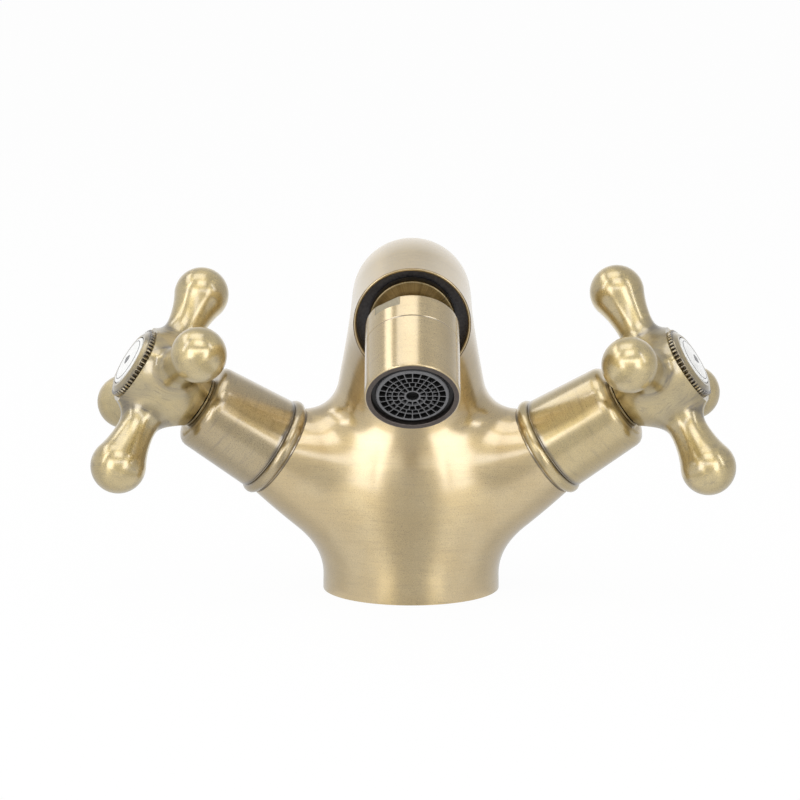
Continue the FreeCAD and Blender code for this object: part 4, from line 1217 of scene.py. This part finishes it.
def makeSleeve():
    chamfer = housing.seamChamfer
    piece = turnedPiece("aerator_barrel", [
        *socketArc(housing.socketEnd, housing.cupStart),
        (housing.cup, housing.cupStart),
        (housing.cup, housing.webStart),
        (housing.skirtBore, housing.webStart),
        (housing.skirtBore, housing.seam),
        (housing.radius - chamfer, housing.seam),
        (housing.radius, housing.seam + chamfer),
        (housing.radius, housing.front, housing.rimRound),
        (housing.bore, housing.front, 0.2),
        (housing.bore, housing.webEnd),
        (housing.port, housing.webEnd),
    ], housingPlace(), "aerator_housing", aeratorBrass, ["aerator_sleeve"], 256,
        hollow=seamShade)
    rim = housing.radius - housing.rimRound * 0.6
    paintFaces(piece, rimMetal, housingPlace(),
               lambda radius, level, angle: radius < rim and level > housing.webEnd - 0.1)


grid = Values(
    radius=9.2,
    front=21.2,
    depth=3.6,
    cellDepth=1.5,
    rib=0.26,
    slope=0.11,
    # outer and inner radius of each ring of cells, and how many
    rows=[(8.35, 6.8, 24), (6.55, 5.25, 24), (5.0, 3.65, 18), (3.4, 2.05, 12)],
    centreHole=1.6,
    rings=96,
    chamfer=0.25,
    faceRadius=8.6,
)


def makeGrid():
    def cells(points):
        radius = radiusOf(points)
        angle = angleOf(points)
        depth = np.clip((grid.centreHole - radius) / grid.slope, 0, 1)
        for outer, inner, count in grid.rows:
            part = 2 * math.pi / count
            fromRib = np.abs((angle / part + 0.5) % 1 - 0.5) * part * radius
            fromRib = np.minimum(fromRib - grid.rib / 2, np.minimum(outer - radius, radius - inner))
            depth = np.maximum(depth, np.clip(fromRib / grid.slope, 0, 1))
        top = points[:, 2] > grid.front - 0.01
        return points - np.stack([depth * 0, depth * 0, depth * top * grid.cellDepth], axis=1)

    radius = grid.radius
    back = grid.front - grid.depth
    inner = radius - grid.chamfer
    face = [(inner * (1 - step / grid.rings), grid.front) for step in range(grid.rings + 1)]
    piece = turnedPiece("aerator_grid", [
        (0, back), (radius, back), (radius, grid.front - grid.chamfer), *face,
    ], housingPlace(), "aerator_housing", greyPlastic, ["aerator_insert"], 432, cells)

    # painted shade: the floors and walls of the cells are painted black
    def shadedCell(radius, level, angle):
        return radius < grid.faceRadius and level < grid.front - 0.3

    paintFaces(piece, blackPlastic, housingPlace(), shadedCell)


makeRingNut()
makeSleeve()
makeGrid()
print("nipple, flange and aerator housing made")


# the solids that stay as they are, by the end of their names
solidFinishes = [
    (rubber, ["base_gasket", "seat_seal", "spindle_rings", "ball_ring", "aerator_seal"]),
    (ceramic, ["fixed_disc", "turning_disc"]),
    (plainBrass, ["cartridge_body", "spindle"]),
    (whitePlastic, ["flange_washer", "spline_bush", "ball_seat"]),
    (stainless, ["spindle_clip", "handle_screw", "aerator_screens"]),
    (blackPlastic, ["mouth_washer", "aerator_cage"]),
]


def dressSolids():
    for name, piece in nodes.items():
        short = name.removeprefix("hot_").removeprefix("cold_")
        for material, names in solidFinishes:
            if short in names:
                for slot in piece.material_slots:
                    slot.material = material


dressSolids()


studio = Values(
    floorSize=6.0,
    floorColour=(0.86, 0.86, 0.86),
    floorWhiteness=0.96,            # how far the camera and reflections see the floor by its glow
    # painted pools of light: the glow that reflections see, by the angle round the tap, from straight ahead
    # to straight behind
    floorGlow=[(0, 0.64), (16, 0.66), (28, 1.0), (54, 1.0), (76, 0.74), (108, 0.68), (140, 0.70),
               (162, 1.0)],
    leftLevel=0.80,
    rightLevel=0.60,
    backLevel=1.0,
    ceilingLevel=0.66,
    # where the back wall and the ceiling begin and are full, as parts of the direction
    backEdge=(0.68, 0.95),
    ceilingEdge=(0.3, 0.65),
)


def addFloor():
    size = studio.floorSize
    mesh = bpy.data.meshes.new("floor")
    corners = [(-size, -size, 0), (size, -size, 0), (size, size, 0), (-size, size, 0)]
    mesh.from_pydata(corners, [], [(0, 1, 2, 3)])
    addObject("floor", mesh)
    finish = Finish("floor_white", studio.floorColour, 0.8)
    finish.set("Specular IOR Level", 0.1)
    # reflections see painted pools of light, brighter strips of floor where the softboxes would shine, and
    # the camera plain white
    place = finish.add("SeparateXYZ", {0: finish.add("TexCoord").outputs["Object"]}).outputs
    ahead = finish.calculate("MULTIPLY", place["Y"], -1)
    turn = finish.calculate("ARCTAN2", finish.calculate("ABSOLUTE", place["X"]), ahead)
    ramp = finish.add("ValToRGB", {0: finish.calculate("DIVIDE", turn, math.pi)})
    ramp.color_ramp.interpolation = "EASE"
    stops = ramp.color_ramp.elements
    while len(stops) < len(studio.floorGlow):
        stops.new(0.5)
    for stop, (angle, level) in zip(stops, studio.floorGlow):
        stop.position = angle / 180
        stop.color = (level, level, level, 1)
    path = finish.add("LightPath").outputs
    white = finish.blend(path["Is Camera Ray"], ramp.outputs[0], (1, 1, 1))
    glow = finish.add("Emission", {"Color": white, "Strength": 1.0})
    seen = path["Is Camera Ray"]
    for ray in ("Is Glossy Ray", "Is Transmission Ray"):
        seen = finish.calculate("MAXIMUM", seen, path[ray])
    share = finish.calculate("MULTIPLY", seen, studio.floorWhiteness)
    mix = finish.add("MixShader", {0: share, 1: finish.shader.outputs[0], 2: glow.outputs[0]})
    finish.feed(finish.tree.nodes["Material Output"].inputs["Surface"], mix.outputs[0])
    mesh.materials.append(finish.owner)


# a softbox stands at an azimuth from the camera's side, right positive, and faces the tap:
# azimuth, elevation, distance, width and height in metres, level
softboxes = [
    (-32.5, 10, 1.1, 0.44, 0.78, 2.6),
    (31.5, 10, 1.1, 0.40, 0.78, 2.6),
    (0, 25, 1.1, 0.70, 0.20, 2.0),
    (0, 58, 1.1, 0.60, 0.44, 2.0),
    (-66, 34, 1.1, 0.14, 0.70, 3.4),
    (62, 30, 1.1, 0.12, 0.70, 3.4),
    (-105, 47, 1.2, 0.90, 0.26, 1.8),
    (-100, 81, 1.2, 0.60, 0.80, 1.38),
]


def addSoftboxes():
    middle = Vector((0, -0.01, 0.055))      # of the tap, in metres
    for index, (azimuth, elevation, distance, width, height, level) in enumerate(softboxes):
        turn = math.radians(azimuth)
        lift = math.radians(elevation)
        away = Vector((math.sin(turn) * math.cos(lift), -math.cos(turn) * math.cos(lift), math.sin(lift)))
        data = bpy.data.lights.new(f"softbox_{index}", "AREA")
        data.shape = "RECTANGLE"
        data.size = width
        data.size_y = height
        # a level of 1 is as bright as a white wall
        data.energy = level * math.pi * width * height
        lamp = addObject(f"softbox_{index}", data)
        lamp.location = middle + away * distance
        lamp.rotation_euler = (-away).to_track_quat("-Z", "Y").to_euler()


def setWorld():
    # a pale room: white behind the tap, duller in front and overhead
    world = bpy.data.worlds.new("studio")
    bpy.context.scene.world = world
    room = NodeTree(world)
    split = room.add("SeparateXYZ", {0: room.add("TexCoord").outputs["Generated"]}).outputs

    def mixed(factor, first, second):
        return room.add("Mix", {0: factor, 2: first, 3: second}).outputs[0]

    back = room.spread(split["Y"], *studio.backEdge, 0, 1, True)
    ceiling = room.spread(split["Z"], *studio.ceilingEdge, 0, 1, True)
    level = room.spread(split["X"], -0.8, 0.8, studio.leftLevel, studio.rightLevel, True)
    level = mixed(back, level, studio.backLevel)
    level = mixed(ceiling, level, studio.ceilingLevel)
    level = mixed(room.add("LightPath").outputs["Is Camera Ray"], level, 1.0)
    background = room.tree.nodes["Background"]
    room.feed(background.inputs["Strength"], 1.0)
    room.feed(background.inputs["Color"], level)


addFloor()
addSoftboxes()
setWorld()
bpy.context.scene.view_settings.view_transform = "Standard"
print("studio made")
